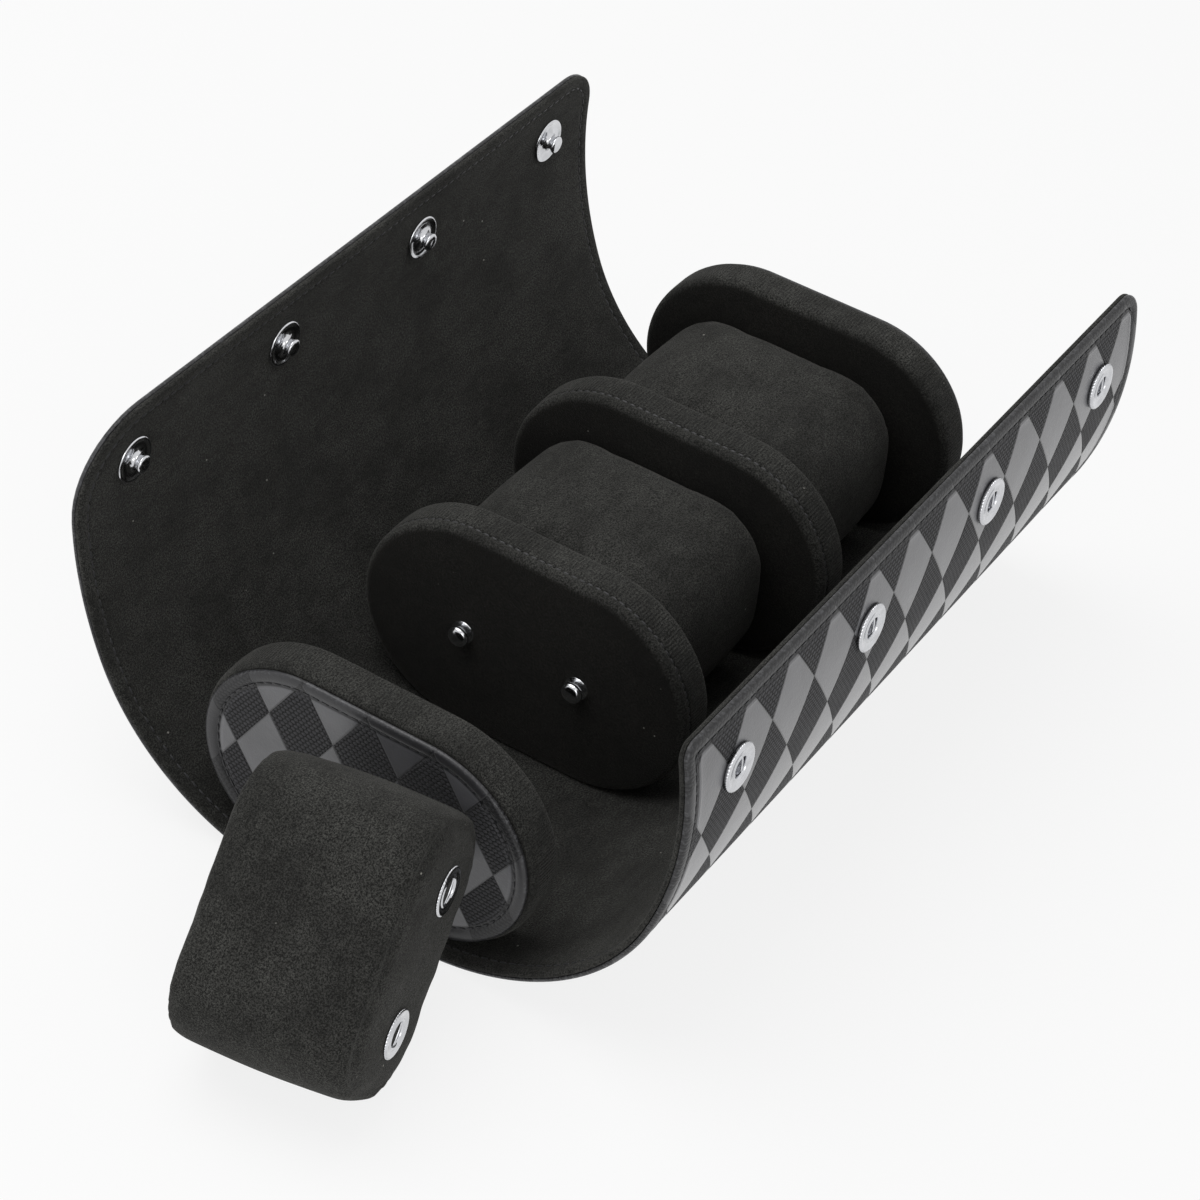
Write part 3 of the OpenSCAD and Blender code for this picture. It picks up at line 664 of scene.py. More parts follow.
    def cut(self, faces, row):
        """The cut end of the sheet as one face."""
        loop = []
        for rings, field, _ in faces:
            front = [ring[row] for ring in rings]
            rear = [ring[-1 - row] for ring in rings]
            loop.append(front + list(field[row, 1:-1]) + rear[::-1])
        return tuple(loop[0] + loop[1][::-1][1:-1])


FLAP_PARTS = ("lower", "middle", "tip")


class Flap:
    """One side of the wrap. A place on it is x along the roll and s round its leather from the middle."""

    def __init__(self, case, sign):
        shape = case.stud_flap if sign > 0 else case.socket_flap
        self.case, self.shape, self.sign = case, shape, sign
        self.name = "left" if sign > 0 else "right"
        self.bodies = ["base"] + [f"{self.name}_{word}" for word in FLAP_PARTS]
        self.level = (DISC_WIDTH - DISC_HEIGHT) / 2
        self.curve_end = self.level + shape.curve_radius * shape.curve_turn
        lengths = [shape.base_length, shape.lower_length, shape.middle_length, shape.tip_length]
        self.cuts = list(self.level + np.cumsum(lengths))
        self.seams = [0, (self.cuts[0] + self.cuts[1]) / 2, (self.cuts[1] + self.cuts[2]) / 2, self.cuts[3]]

    def turn(self, s):
        """Slope of the leather at s, as an angle from level."""
        return (np.clip((s - self.level) / self.shape.curve_radius, 0, self.shape.curve_turn)
                + np.clip((s - self.curve_end) / self.shape.upper_radius, 0, None))

    def point(self, x, s, depth):
        """Points of the sheet at a depth below the leather's face."""
        turn = self.turn(s)
        low = np.minimum(turn, self.shape.curve_turn)
        near, far = self.shape.curve_radius, self.shape.upper_radius
        y = np.minimum(s, self.level) + near * np.sin(low) + far * (np.sin(turn) - np.sin(low))
        z = near * (1 - np.cos(low)) + far * (np.cos(low) - np.cos(turn))
        return np.column_stack([x, self.sign * (y - depth * np.sin(turn)), z + depth * np.cos(turn)])

    def outward(self, s):
        """Direction out of the leather at s."""
        turn = self.turn(s)
        return np.column_stack([np.zeros(len(s)), self.sign * np.sin(turn), -np.cos(turn)])

    def snaps(self):
        """Places of the flap's snaps."""
        snaps = self.case.snaps
        s = self.cuts[3] - self.shape.snap_inset
        return [((k - (snaps.count - 1) / 2) * snaps.spacing, s) for k in range(snaps.count)]

    def pressed(self, x, s):
        """How far the sheet is pressed in round the snaps, from 0 to 1."""
        return sum(np.exp(-((x - a) ** 2 + (s - b) ** 2) / PRESS_REACH ** 2) for a, b in self.snaps())

    def bend(self, piece, part):
        """Bakes a piece's place into its mesh; the points on each side of the fold that crosses it are worked
        out but not used.
        """
        reach = self.case.wrap.bend
        low, high = self.point(np.zeros(2), np.array([self.cuts[part] - reach, self.cuts[part] + reach]),
                               WRAP_THICKNESS / 2)
        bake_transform(piece)

    def sheets(self):
        """Its three stretches: part number, name and layout."""
        corners = (self.shape.front_corner, self.shape.rear_corner)
        for part, word in enumerate(FLAP_PARTS):
            yield part, word, Sheet(self, self.seams[part], self.seams[part + 1],
                                    corners if word == "tip" else None, self.case.wrap)

    def nodes(self, part, layer):
        """The CAD nodes that a stretch stands for."""
        return [f"{body}_{layer}" for body in self.bodies[part:part + 2]]


def steps(*rows):
    """Rows given in millimetres."""
    return [tuple(mm(value) for value in row) for row in rows]


# Profiles of the sheets' faces: inset from the edge and depth below the leather's face
SKIN_OUTSIDE = steps((0, 0.95), (0.03, 0.62), (0.2, 0.3), (0.5, 0.06), (0.95, -0.08), (1.5, -0.12),
                     (2.1, -0.1), (2.6, -0.02), (2.95, 0.14), (3.15, 0.3), (3.4, 0.3), (3.6, 0.14),
                     (3.9, 0.0), (4.3, 0.03), (4.55, -0.05), (4.75, -0.07), (4.95, -0.03), (5.3, 0), (7, 0))
SKIN_INSIDE = steps((0, 0.95), (0.05, 1.12), (0.3, 1.24), (0.6, 1.28), (2.1, 1.3), (2.25, 0.95), (7, 0.95))
LINING_OUTSIDE = steps((0.12, 1.38), (2.3, 1.4), (2.4, 1.85), (7, 1.85))
LINING_INSIDE = steps((0.12, 1.38), (-0.02, 1.6), (-0.08, 1.9), (-0.02, 2.2), (0.2, 2.45), (0.6, 2.6),
                      (1.2, 2.66), (2.0, 2.64), (2.7, 2.55), (3.05, 2.36), (3.3, 2.3), (3.55, 2.36),
                      (3.9, 2.47), (5, 2.5), (7, 2.5))
BOARD_OUTSIDE = steps((2.5, 1.4), (2.5, 1.0), (7, 1.0))
BOARD_INSIDE = steps((2.5, 1.4), (2.5, 1.8), (7, 1.8))


def oval_line(width, height, inset, count=60, flat_steps=32):
    """Points round an upright oval, drawn in by an inset, with how far round each lies."""
    level, radius = (width - height) / 2, height / 2
    turns = np.linspace(-math.pi / 2, math.pi / 2, count + 1)
    bend = max(radius - inset, 0)
    right = np.column_stack([level + bend * np.cos(turns), bend * np.sin(turns)])
    top = np.linspace([level, bend], [-level, bend], flat_steps + 1)[1:-1]
    around_arc = (turns + math.pi / 2) * radius
    around_flat = math.pi * radius + np.linspace(0, 2 * level, flat_steps + 1)[1:-1]
    half = np.concatenate([right, top])
    around = np.concatenate([around_arc, around_flat])
    return (np.concatenate([half, -half]),
            np.concatenate([around, around + math.pi * radius + 2 * level]))


def oval_piece(name, rows, front, direction, width, height, finish_name, planar=False):
    """A closed oval piece from rows of inset and depth, counted from its front face along the roll."""
    shell = Shell()
    rings = []
    for inset, depth in rows:
        line, around = oval_line(width, height, inset)
        x = np.full(len(line), front + direction * depth)
        points = np.column_stack([x, line[:, 0], DISC_MIDDLE + line[:, 1]])
        places = (np.column_stack([line, x]) if planar
                  else np.column_stack([around, np.full(len(line), depth), np.full(len(line), inset)]))
        rings.append(shell.row(points, places, inset))
    shell.tube(rings)
    return shell.object(name, finish_name)


# Profiles of the discs: inset from the outline and depth from the front face
DISC_BACK = steps((-0.1, 9), (0.02, 10.2), (0.3, 11), (0.9, 11.6), (1.9, 11.9), (3.5, 12), (8, 12.05),
                  (16, 12.1), (29, 12.12))
DIVIDER_ROWS = steps((29, -0.15), (24, -0.15), (18, -0.14), (12, -0.1), (8, -0.02), (5, 0.05), (3, 0.08),
                     (1.9, 0.13), (1.1, 0.3), (0.5, 0.7), (0.15, 1.25), (0, 1.9), (0.02, 2.5), (0.12, 2.85),
                     (0.42, 3.05), (0.42, 3.25), (0.1, 3.45), (-0.04, 3.9), (-0.1, 5),
                     (-0.12, 7)) + DISC_BACK
CAP_ROWS = steps((29, 1.25), (6, 1.25), (2.4, 1.25), (1.5, 1.3), (0.8, 1.6), (0.3, 2.2), (0.05, 3),
                 (-0.06, 4), (-0.1, 6), (-0.12, 7.5)) + DISC_BACK
FACE_ROWS = steps((27.8, 1.15), (6, 1.15), (0.6, 1.12), (0.12, 1.0), (0, 0.75), (0.06, 0.4), (0.3, 0.1),
                  (0.8, -0.08), (1.5, -0.15), (2.2, -0.1), (2.75, 0.1), (3.1, 0.4), (3.35, 0.62),
                  (3.6, 0.64), (4.1, 0.5), (5.5, 0.44), (10, 0.4), (18, 0.36), (27.8, 0.35))


# How finely a cushion is laid out, and how long its cloth is simulated
BODY_RINGS = 24
EDGE_RINGS = 6
CORNER_POINTS = 15
WIDE_POINTS, HIGH_POINTS = 16, 6
CLOTH_FRAMES = 20
FOAM_GAP = mm(4.2)
SEAM_REACH = mm(1.6)
SMALLEST = 1e-9


class Cushion:
    """A cushion along +X from x = 0, with its sockets at the far end, made in its own space."""

    def __init__(self, shape):
        self.shape = shape
        self.cloth = None

    def rows(self, gap):
        """Places along the cushion, insets and swells of its rings, all drawn in by a gap."""
        edge, length = self.shape.edge, CUSHION_LENGTH
        middle = self.shape.height / 2
        near = [(gap, middle, 0)] + [(gap, gap + share * (middle - gap), 0) for share in (0.75, 0.5, 0.3)]
        turns = np.radians(np.linspace(90, 0, EDGE_RINGS + 1))
        near += [(gap + edge * (1 - math.sin(t)), gap + edge * (1 - math.cos(t)), 0) for t in turns]
        body = []
        for k in range(1, BODY_RINGS):
            rise = self.shape.crown * math.sin(math.pi * k / BODY_RINGS)
            body.append((gap + edge + k / BODY_RINGS * (length - 2 * (gap + edge)), gap - rise, rise / 2))
        return near + body + [(length - x, inset, rise) for x, inset, rise in reversed(near)]

    def outline(self, inset, rise):
        """The cushion's rounded outline across, drawn in by an inset, its sides swollen by a rise."""
        wide, high = self.shape.width - 2 * inset, self.shape.height - 2 * inset
        radius = min(max(self.shape.corner - inset, 0), wide / 2, high / 2)
        corners = []
        for quarter in range(4):
            turns = np.radians(np.linspace(90 * quarter, 90 * quarter + 90, CORNER_POINTS))
            side = 1 if quarter in (0, 3) else -1
            up = 1 if quarter < 2 else -1
            corners.append(np.column_stack([side * (wide / 2 - radius) + radius * np.cos(turns),
                                            up * (high / 2 - radius) + radius * np.sin(turns)]))
        line = []
        for quarter in range(4):
            here, after = corners[quarter], corners[(quarter + 1) % 4]
            line.extend(here)
            run = after[0] - here[-1]
            out = np.array([run[1], -run[0]]) / max(np.linalg.norm(run), SMALLEST)
            count = WIDE_POINTS if quarter % 2 == 0 else HIGH_POINTS
            for part in np.arange(1, count) / count:
                line.append(here[-1] + run * part + out * rise * 4 * part * (1 - part))
        return np.array(line)

    def form(self, name, gap, finish_name):
        """The closed cushion, drawn in all round by a gap."""
        shell = Shell()
        rings = []
        for x, inset, rise in self.rows(gap):
            line = self.outline(inset, rise)
            rings.append(shell.row(np.column_stack([np.full(len(line), x), line])))
        shell.tube(rings)
        return shell.object(name, finish_name)

    def panel_inset(self, points):
        """How far points lie inside the outline of the end panels."""
        half = np.array([self.shape.width, self.shape.height]) / 2 - self.shape.corner
        past = abs(points[:, 1:]) - half
        outside = np.linalg.norm(np.maximum(past, 0), axis=1) + np.minimum(past.max(axis=1), 0)
        return self.shape.corner - outside

    def along_seam(self, points):
        """1 on the seam of an end panel, falling to 0 beside it."""
        from_end = np.minimum(points[:, 0], CUSHION_LENGTH - points[:, 0])
        near_end = np.clip(2 - from_end / SEAM_REACH, 0, 1)
        from_seam = (self.panel_inset(points) - self.shape.seam) / self.shape.seam_width
        return near_end * np.exp(-from_seam ** 2)

    def filled(self):
        """Points and faces of the cover, blown up by its filling in a cloth simulation."""
        if self.cloth:
            return self.cloth
        swell = self.shape.swell
        piece = self.form("cushion_cloth", swell, "cushion")
        even = piece.modifiers.new("even_mesh", "REMESH")
        even.mode, even.voxel_size = "VOXEL", self.shape.cloth
        settle(piece)
        start = coordinates(piece.data)
        seam = piece.vertex_groups.new(name="seam")
        for index, held in enumerate(self.along_seam(start)):
            seam.add([index], float(min(held * 1.2, 1)), "REPLACE")
        cloth = piece.modifiers.new("filling", "CLOTH").settings
        cloth.quality = 6
        cloth.mass = 0.1
        cloth.use_pressure = True
        cloth.uniform_pressure_force = self.shape.filling
        cloth.shrink_min = -self.shape.slack
        cloth.vertex_group_mass = "seam"
        cloth.effector_weights.gravity = 0
        for step in range(1, CLOTH_FRAMES + 1):
            bpy.context.scene.frame_set(step)
        settle(piece)
        moved = coordinates(piece.data) - start
        far = np.linalg.norm(moved, axis=1, keepdims=True)
        points = start + moved * np.minimum(1, swell / np.maximum(far, SMALLEST))
        piece.data.vertices.foreach_set("co", points.ravel())
        soft = piece.modifiers.new("soft", "SUBSURF")
        soft.levels = soft.render_levels = 1
        settle(piece)
        points = coordinates(piece.data)
        sign = np.where(points[:, 0] < CUSHION_LENGTH / 2, 1, -1)
        points[:, 0] += sign * self.along_seam(points) * self.shape.seam_depth
        points[:, 0] = np.clip(points[:, 0], 0, CUSHION_LENGTH)
        self.cloth = points, [tuple(face.vertices) for face in piece.data.polygons]
        bpy.data.objects.remove(piece)
        bpy.context.scene.frame_set(1)
        return self.cloth

    def cover(self, name, place):
        """The suede cover where the cushion lies."""
        points, faces = self.filled()
        shell = Shell()
        shell.row(points)
        shell.faces = list(faces)
        return stood(shell.object(name, "cushion"), place)


def settle(piece):
    """Makes what a piece's modifiers show its own mesh, and takes them off."""
    depsgraph = bpy.context.evaluated_depsgraph_get()
    mesh = bpy.data.meshes.new_from_object(piece.evaluated_get(depsgraph))
    piece.modifiers.clear()
    piece.data = mesh


def coordinates(mesh):
    """The points of a mesh as rows."""
    points = np.empty(len(mesh.vertices) * 3)
    mesh.vertices.foreach_get("co", points)
    return points.reshape(-1, 3)


def stood(piece, place):
    """Puts a piece's mesh where it lies."""
    piece.data.transform(place)
    return piece


def seat(cover_node):
    """Where a seated cushion lies, from its CAD cover."""
    low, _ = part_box(cover_node)
    return Matrix.Translation((low.x, 0, DISC_MIDDLE))


def leaning(shape):
    """Where the loose cushion lies: on its long edge, leaning back on the front cap."""
    _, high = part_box("front_cushion_cover")
    turned = (Matrix.Rotation(shape.turn - math.pi / 2, 4, "Z")
              @ Matrix.Rotation(math.pi / 2 - shape.lean, 4, "X")
              @ Matrix.Translation((-CUSHION_LENGTH / 2, 0, 0)))
    cushion = Cushion(shape)
    points = [turned @ Vector((x, *p))
              for x, inset, rise in cushion.rows(0) for p in cushion.outline(inset, rise)]
    reach = max(p.x for p in points)
    drop = min(p.z for p in points)
    return Matrix.Translation((high.x - reach, shape.shift, -drop)) @ turned


# Turned metal shapes
TOOTH_DEPTH = mm(0.18)
SHARP_ANGLE = 40
WIRE_STEPS = 14


def lathe(name, rows, around=48, teeth=()):
    """A turned metal shape about +Z from rows of radius and height, with small teeth on some rows."""
    shell = Shell()
    rings = []
    turns = np.linspace(0, 2 * math.pi, around, endpoint=False)
    for index, (radius, height) in enumerate(rows):
        radii = np.full(around, radius)
        if index in teeth:
            radii[::2] -= TOOTH_DEPTH
        points = np.column_stack([radii * np.cos(turns), radii * np.sin(turns), np.full(around, height)])
        rings.append(shell.row(points))
    shell.tube(rings)
    return shell.object(name, "metal", SHARP_ANGLE)


def socket_rows(bore, barrel, ring, thick):
    """Rows of a socket in millimetres: a bored barrel below a ring with a rolled lip and rim."""
    return steps((0, 0.15 - barrel), (bore - 0.3, 0.15 - barrel), (bore, 0.45 - barrel), (bore, -0.5),
                 (bore - 0.2, 0), (bore - 0.15, thick - 0.45), (bore + 0.05, thick - 0.12),
                 (bore + 0.3, thick), (bore + 0.55, thick - 0.05), (bore + 0.75, thick - 0.24),
                 (ring - 1.75, thick - 0.26), (ring - 1.4, thick - 0.1), (ring - 1.0, thick),
                 (ring - 0.5, thick - 0.02), (ring - 0.2, thick - 0.12), (ring - 0.04, thick - 0.3),
                 (ring, thick - 0.45), (ring, 0.25), (ring - 0.2, 0.05), (ring - 0.7, 0),
                 (bore + 0.6, 0), (bore + 0.6, -barrel), (0, -barrel))


# Bore, barrel, ring and thickness of the sockets, in millimetres
CUSHION_SOCKET = (3.0, 4.6, 5.8, 0.8)
FLAP_SOCKET = (2.6, 2.5, 5.8, 1.0)
# The rows of a socket's rim, which carry its teeth
SOCKET_TEETH = (14, 15, 16, 17)
STUD_ROWS = steps((0, -0.05), (5.4, -0.05), (5.7, 0.1), (5.8, 0.3), (5.68, 0.5), (5.4, 0.6), (5.1, 0.55),
                  (4.7, 0.3), (4.1, 0.18), (3.3, 0.2), (2.7, 0.36), (2.2, 0.62), (1.85, 1.0), (1.7, 1.5),
                  (1.75, 1.95), (2.05, 2.2), (2.27, 2.5), (2.3, 2.75), (2.2, 3.05), (1.85, 3.28),
                  (1.3, 3.38), (0.8, 3.4), (0.5, 3.34), (0, 3.3))
CAP_DOME_ROWS = steps((0, 0), (5.5, 0), (5.75, 0.08), (5.8, 0.22), (5.6, 0.38), (5, 0.5), (3.8, 0.61),
                      (2.2, 0.68), (0, 0.7))
BALL_ROWS = steps((0, -0.1), (2.9, -0.1), (3.1, 0.1), (3.0, 0.35), (2.4, 0.5), (1.9, 0.75), (1.85, 1.0),
                  (2.25, 1.25), (2.62, 1.6), (2.8, 2.1), (2.72, 2.55), (2.4, 3.0), (1.9, 3.3), (1.2, 3.47),
                  (0.6, 3.5), (0, 3.5))


def spring_wire(shell, offset, height, radius, wire):
    """One bent wire of the spring inside a socket's bore."""
    reach = math.sqrt(max(radius ** 2 - offset ** 2, 0)) + mm(0.2)
    rings = []
    for k in range(WIRE_STEPS + 1):
        part = k / WIRE_STEPS
        y = -reach + 2 * reach * part
        x = offset * (1 + 0.35 * math.sin(math.pi * part))
        turns = np.linspace(0, 2 * math.pi, 10, endpoint=False)
        ring = np.column_stack([x + wire * np.cos(turns), np.full(10, y), height + wire * np.sin(turns)])
        rings.append(shell.row(ring))
    shell.faces.append(tuple(rings[0]))
    shell.tube(rings)
    shell.faces.append(tuple(rings[-1]))


def socket_with_spring(name, bore, barrel, ring, thick):
    """A socket ring with two spring wires across its bore."""
    body = lathe(name, socket_rows(bore, barrel, ring, thick), 96, SOCKET_TEETH)
    shell = Shell()
    for side in (-1, 1):
        spring_wire(shell, side * mm(bore * 0.46), mm(0.1), mm(bore), mm(0.27))
    wires = shell.object(f"{name}_spring", "metal")
    return join(name, body, wires)


def join(name, *pieces):
    """Several pieces as one object, with their materials kept."""
    work = bmesh.new()
    for piece in pieces:
        work.from_mesh(piece.data)
    mesh = pieces[0].data
    work.to_mesh(mesh)
    work.free()
    for piece in pieces[1:]:
        bpy.data.objects.remove(piece)
    pieces[0].name = mesh.name = name
    mesh.shade_smooth()
    mesh.set_sharp_from_angle(angle=math.radians(SHARP_ANGLE))
    return pieces[0]


def tree_with(name, inputs):
    """A Geometry Nodes tree with named inputs, its recipe and its group input as a wire."""
    tree = bpy.data.node_groups.new(name, "GeometryNodeTree")
    tree.interface.new_socket("Geometry", in_out="INPUT", socket_type="NodeSocketGeometry")
    for label, kind, value in inputs:
        socket = tree.interface.new_socket(label, in_out="INPUT", socket_type=kind)
        if value is not None:
            socket.default_value = value
    tree.interface.new_socket("Geometry", in_out="OUTPUT", socket_type="NodeSocketGeometry")
    recipe = Recipe(tree)
    return tree, recipe, recipe.add("NodeGroupInput")


def set_out(recipe, points, shape, scale, lift, along, given):
    """Instances stood on points: +Z along the lift, +X along the line, made real with one material."""
    standing = recipe.add("FunctionNodeAlignRotationToVector", {"axis": "Z"}, {"Vector": lift})
    facing = recipe.add("FunctionNodeAlignRotationToVector", {"axis": "X", "pivot_axis": "Z"},
                        {"Rotation": standing, "Vector": along})
    copies = recipe.add("GeometryNodeInstanceOnPoints", None,
                        {"Points": points, "Instance": shape, "Rotation": facing, "Scale": scale})
    real = recipe.add("GeometryNodeRealizeInstances", None, [copies])
    smooth = recipe.add("GeometryNodeSetShadeSmooth", None, [real])
    last = recipe.add("GeometryNodeSetMaterial", None,
                      {"Geometry": smooth, "Material": given.other("Material")})
    recipe.add("NodeGroupOutput", None, [last])


def vector_attribute(recipe, name):
    """A direction that each point of the mesh keeps."""
    return recipe.add("GeometryNodeInputNamedAttribute", {"data_type": "FLOAT_VECTOR"}, {"Name": name},
                      "Attribute")


def stitch_tree():
    """Evenly spaced stitches along the lines of a mesh, each a short flattened thread."""
    tree, recipe, given = tree_with("stitches", [
        ("Pitch", "NodeSocketFloat", mm(2.6)), ("Length", "NodeSocketFloat", mm(2.1)),
        ("Thickness", "NodeSocketFloat", mm(0.5)), ("Seed", "NodeSocketInt", 7),
        ("Material", "NodeSocketMaterial", None)])
    line = recipe.add("GeometryNodeMeshToCurve", None, [given.other("Geometry")])
    spaced = recipe.add("GeometryNodeResampleCurve", {"mode": "LENGTH"},
                        {"Curve": line, "Length": given.other("Pitch")})
    bead = recipe.add("GeometryNodeMeshUVSphere", None, {"Segments": 8, "Rings": 5, "Radius": 0.5})
    grow = recipe.add("FunctionNodeRandomValue", {"data_type": "FLOAT"},
                      {"Min": 0.93, "Max": 1.04, "Seed": given.other("Seed")}, "Value")
    thick = given.other("Thickness")
    scale = recipe.add("ShaderNodeCombineXYZ", None, [given.other("Length") * grow, thick, thick * 0.8])
    tangent = recipe.add("GeometryNodeInputTangent")
    set_out(recipe, spaced, bead, scale, vector_attribute(recipe, "lift"), tangent, given)
    return tree


def copies_tree():
    """Copies of a shape stood on the points of a mesh."""
    tree, recipe, given = tree_with("copies", [("Shape", "NodeSocketObject", None),
                                               ("Material", "NodeSocketMaterial", None)])
    shape = recipe.add("GeometryNodeObjectInfo", None, {"Object": given.other("Shape")}, "Geometry")
    set_out(recipe, given.other("Geometry"), shape, (1, 1, 1), vector_attribute(recipe, "lift"),
            vector_attribute(recipe, "along"), given)
    return tree


def grown(name, lines, lifts, alongs, tree, values, finish_name):
    """Runs a tree on lines of points, each with its own lift, and keeps the result as a plain mesh."""
    points, edges = [], []
    for line in lines:
        first = len(points)
        points.extend(tuple(p) for p in line)
        edges.extend((k, k + 1) for k in range(first, len(points) - 1))
    mesh = bpy.data.meshes.new(name)
    mesh.from_pydata(points, edges if tree.name.startswith("stitches") else [], [])
    for label, rows in (("lift", lifts), ("along", alongs)):
        if rows is not None:
            mesh.attributes.new(label, "FLOAT_VECTOR", "POINT").data.foreach_set(
                "vector", np.concatenate([np.asarray(r, np.float32) for r in rows]).ravel())
    holder = bpy.data.objects.new(name, mesh)
    bpy.context.scene.collection.objects.link(holder)
    modifier = holder.modifiers.new("grow", "NODES")
    modifier.node_group = tree
    sockets = {item.name: item.identifier for item in tree.interface.items_tree if item.in_out == "INPUT"}
    for label, value in {**values, "Material": finish_of(finish_name)}.items():
        modifier[sockets[label]] = value
    bpy.context.view_layer.update()
    result = bpy.data.meshes.new_from_object(holder.evaluated_get(bpy.context.evaluated_depsgraph_get()))
    holder.modifiers.clear()
    holder.data = result
    result.name = name
    if not result.polygons:
        raise RuntimeError(f"{name} came out empty")
    return holder


def tree_named(name, make):
    """A tree by name, made the first time."""
    return bpy.data.node_groups.get(name) or make()


def sew(name, lines, lifts, stitches, pitch=None):
    """Stitches along lines. A pitch of their own makes them longer or shorter in step."""
    pitch = pitch or stitches.pitch
    return grown(name, lines, lifts, None, tree_named("stitches", stitch_tree),
                 {"Pitch": pitch, "Length": stitches.length * (pitch / stitches.pitch),
                  "Thickness": stitches.thickness}, "thread")


def set_copies(name, shape, points, lifts, alongs):
    """Metal copies of a shape on points. The shape itself goes."""
    made = grown(name, [points], [lifts], [alongs], tree_named("copies", copies_tree), {"Shape": shape},
                 "metal")
    bpy.data.objects.remove(shape)
    made.data.set_sharp_from_angle(angle=math.radians(SHARP_ANGLE))
    return made


def stand_in(piece, nodes, body=None):
    """Hides the CAD nodes that a piece replaces and puts the piece on the body that it rides, if one is
    given.
    """
    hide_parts(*nodes)
    if body:
        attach(piece, body)


def looked_at(recipe):
    """1 for what the camera, a mirror or glass shows, 0 for what lights the case."""
    path = recipe.add("ShaderNodeLightPath")
    mirrored = path.other("Is Glossy Ray").at_least(path.other("Is Transmission Ray"))
    return path.other("Is Camera Ray").at_least(mirrored)


# The camera's right and up directions, and half the floor's width
CAMERA_RIGHT = Vector((0.5402, -0.8373, 0.0845))
CAMERA_UP = Vector((0.5105, 0.4059, 0.7581))
SENSOR_WIDTH = 36
HALF_FLOOR = 3.0


class WATCHCASE_OT_stage(bpy.types.Operator):
    """Makes the floor, the soft lights and the camera"""
    bl_idname = "watch_case.stage"
    bl_label = "Stage"

    def execute(self, context):
        look = context.scene.watch_case.stage
        self.floor(look)
        self.sky(context, look)
        for name, place, target, wide, power in (
                ("high_light", (-0.15, 0.25, 0.95), (0, 0, 0), 0.9, look.lamp),
                ("side_light", (-0.75, -0.75, 0.6), (0, 0, 0.05), 0.6, look.lamp * 0.35)):
            lamp = bpy.data.lights.new(name, "AREA")
            lamp.shape, lamp.size, lamp.energy = "DISK", wide, power
            light = bpy.data.objects.new(name, lamp)
            light.location = place
            light.rotation_euler = (Vector(target) - Vector(place)).to_track_quat("-Z", "Y").to_euler()
            context.scene.collection.objects.link(light)
        self.camera(context, look)
        context.scene.view_settings.view_transform = "Standard"
        return {"FINISHED"}

    def floor(self, look):
        """A pale paper floor that keeps the case's shadow."""
        mesh = bpy.data.meshes.new("floor")
        corners = [(x * HALF_FLOOR, y * HALF_FLOOR, 0) for x, y in ((-1, -1), (1, -1), (1, 1), (-1, 1))]
        mesh.from_pydata(corners, [], [(0, 1, 2, 3)])
        floor = bpy.data.objects.new("floor", mesh)
        bpy.context.scene.collection.objects.link(floor)
        made, recipe = material("floor_paper")
        grain = recipe.noise(recipe.object_place(), mm(60), 2)
        body = recipe.mix(grain, shaded(look.floor, 0.985), look.floor)
        paper = recipe.add("ShaderNodeBsdfDiffuse", None, {"Color": body})
        white = recipe.add("ShaderNodeEmission", None, {"Color": (*look.floor, 1), "Strength": 1.0})
        shown = recipe.add("ShaderNodeMixShader", None, [looked_at(recipe) * look.glow, paper, white])
        recipe.add("ShaderNodeOutputMaterial", None, {"Surface": shown})
        mesh.materials.append(made)

    def sky(self, context, look):
        """Soft light from all round, white where it is looked at."""
        world = bpy.data.worlds.new("studio")
        world.use_nodes = True
        world.node_tree.nodes.clear()
        recipe = Recipe(world.node_tree)
        light = recipe.add("ShaderNodeBackground", None, {"Color": (1, 1, 1, 1), "Strength": look.sky})
        white = recipe.add("ShaderNodeBackground", None, {"Color": (1, 1, 1, 1), "Strength": 1.0})
        both = recipe.add("ShaderNodeMixShader", None, [looked_at(recipe), light, white])
        recipe.add("ShaderNodeOutputWorld", None, {"Surface": both})
        context.scene.world = world

    def camera(self, context, look):
        """The camera that sees the case as photographed."""
        data = bpy.data.cameras.new("camera")
        data.sensor_width, data.lens, data.clip_start = SENSOR_WIDTH, look.lens, 0.01
        camera = bpy.data.objects.new("camera", data)
        turned = Matrix((CAMERA_RIGHT, CAMERA_UP, CAMERA_RIGHT.cross(CAMERA_UP))).transposed()
        camera.matrix_world = Matrix.Translation(look.camera_place) @ turned.to_4x4()
        context.scene.collection.objects.link(camera)
        context.scene.camera = camera


class WATCHCASE_OT_wrap(bpy.types.Operator):
    """Makes the outer leather, boards and suede lining of both flaps, each in three stretches"""
    bl_idname = "watch_case.wrap"
    bl_label = "Wrap"

    def execute(self, context):
        case = context.scene.watch_case
        press = case.snaps.press
        layers = [("skin", "leather", "outer_leather", SKIN_OUTSIDE, SKIN_INSIDE, (press, 0)),
                  ("board", "board", "board", BOARD_OUTSIDE, BOARD_INSIDE, (0, 0)),
                  ("lining", "lining", "suede_lining", LINING_OUTSIDE, LINING_INSIDE, (0, -press))]
        for sign in (1, -1):
            flap = Flap(case, sign)
            hole = STUD_HOLE if sign > 0 else SOCKET_HOLE
            for part, word, sheet in flap.sheets():
                for layer, finish_name, slot, outside, inside, presses in layers:
                    piece = sheet.build(f"{flap.name}_{word}_{layer}_sheet", outside, inside, finish_name,
                                        presses, hole)
                    stand_in(piece, flap.nodes(part, layer))
                    flap.bend(piece, part)
        return {"FINISHED"}


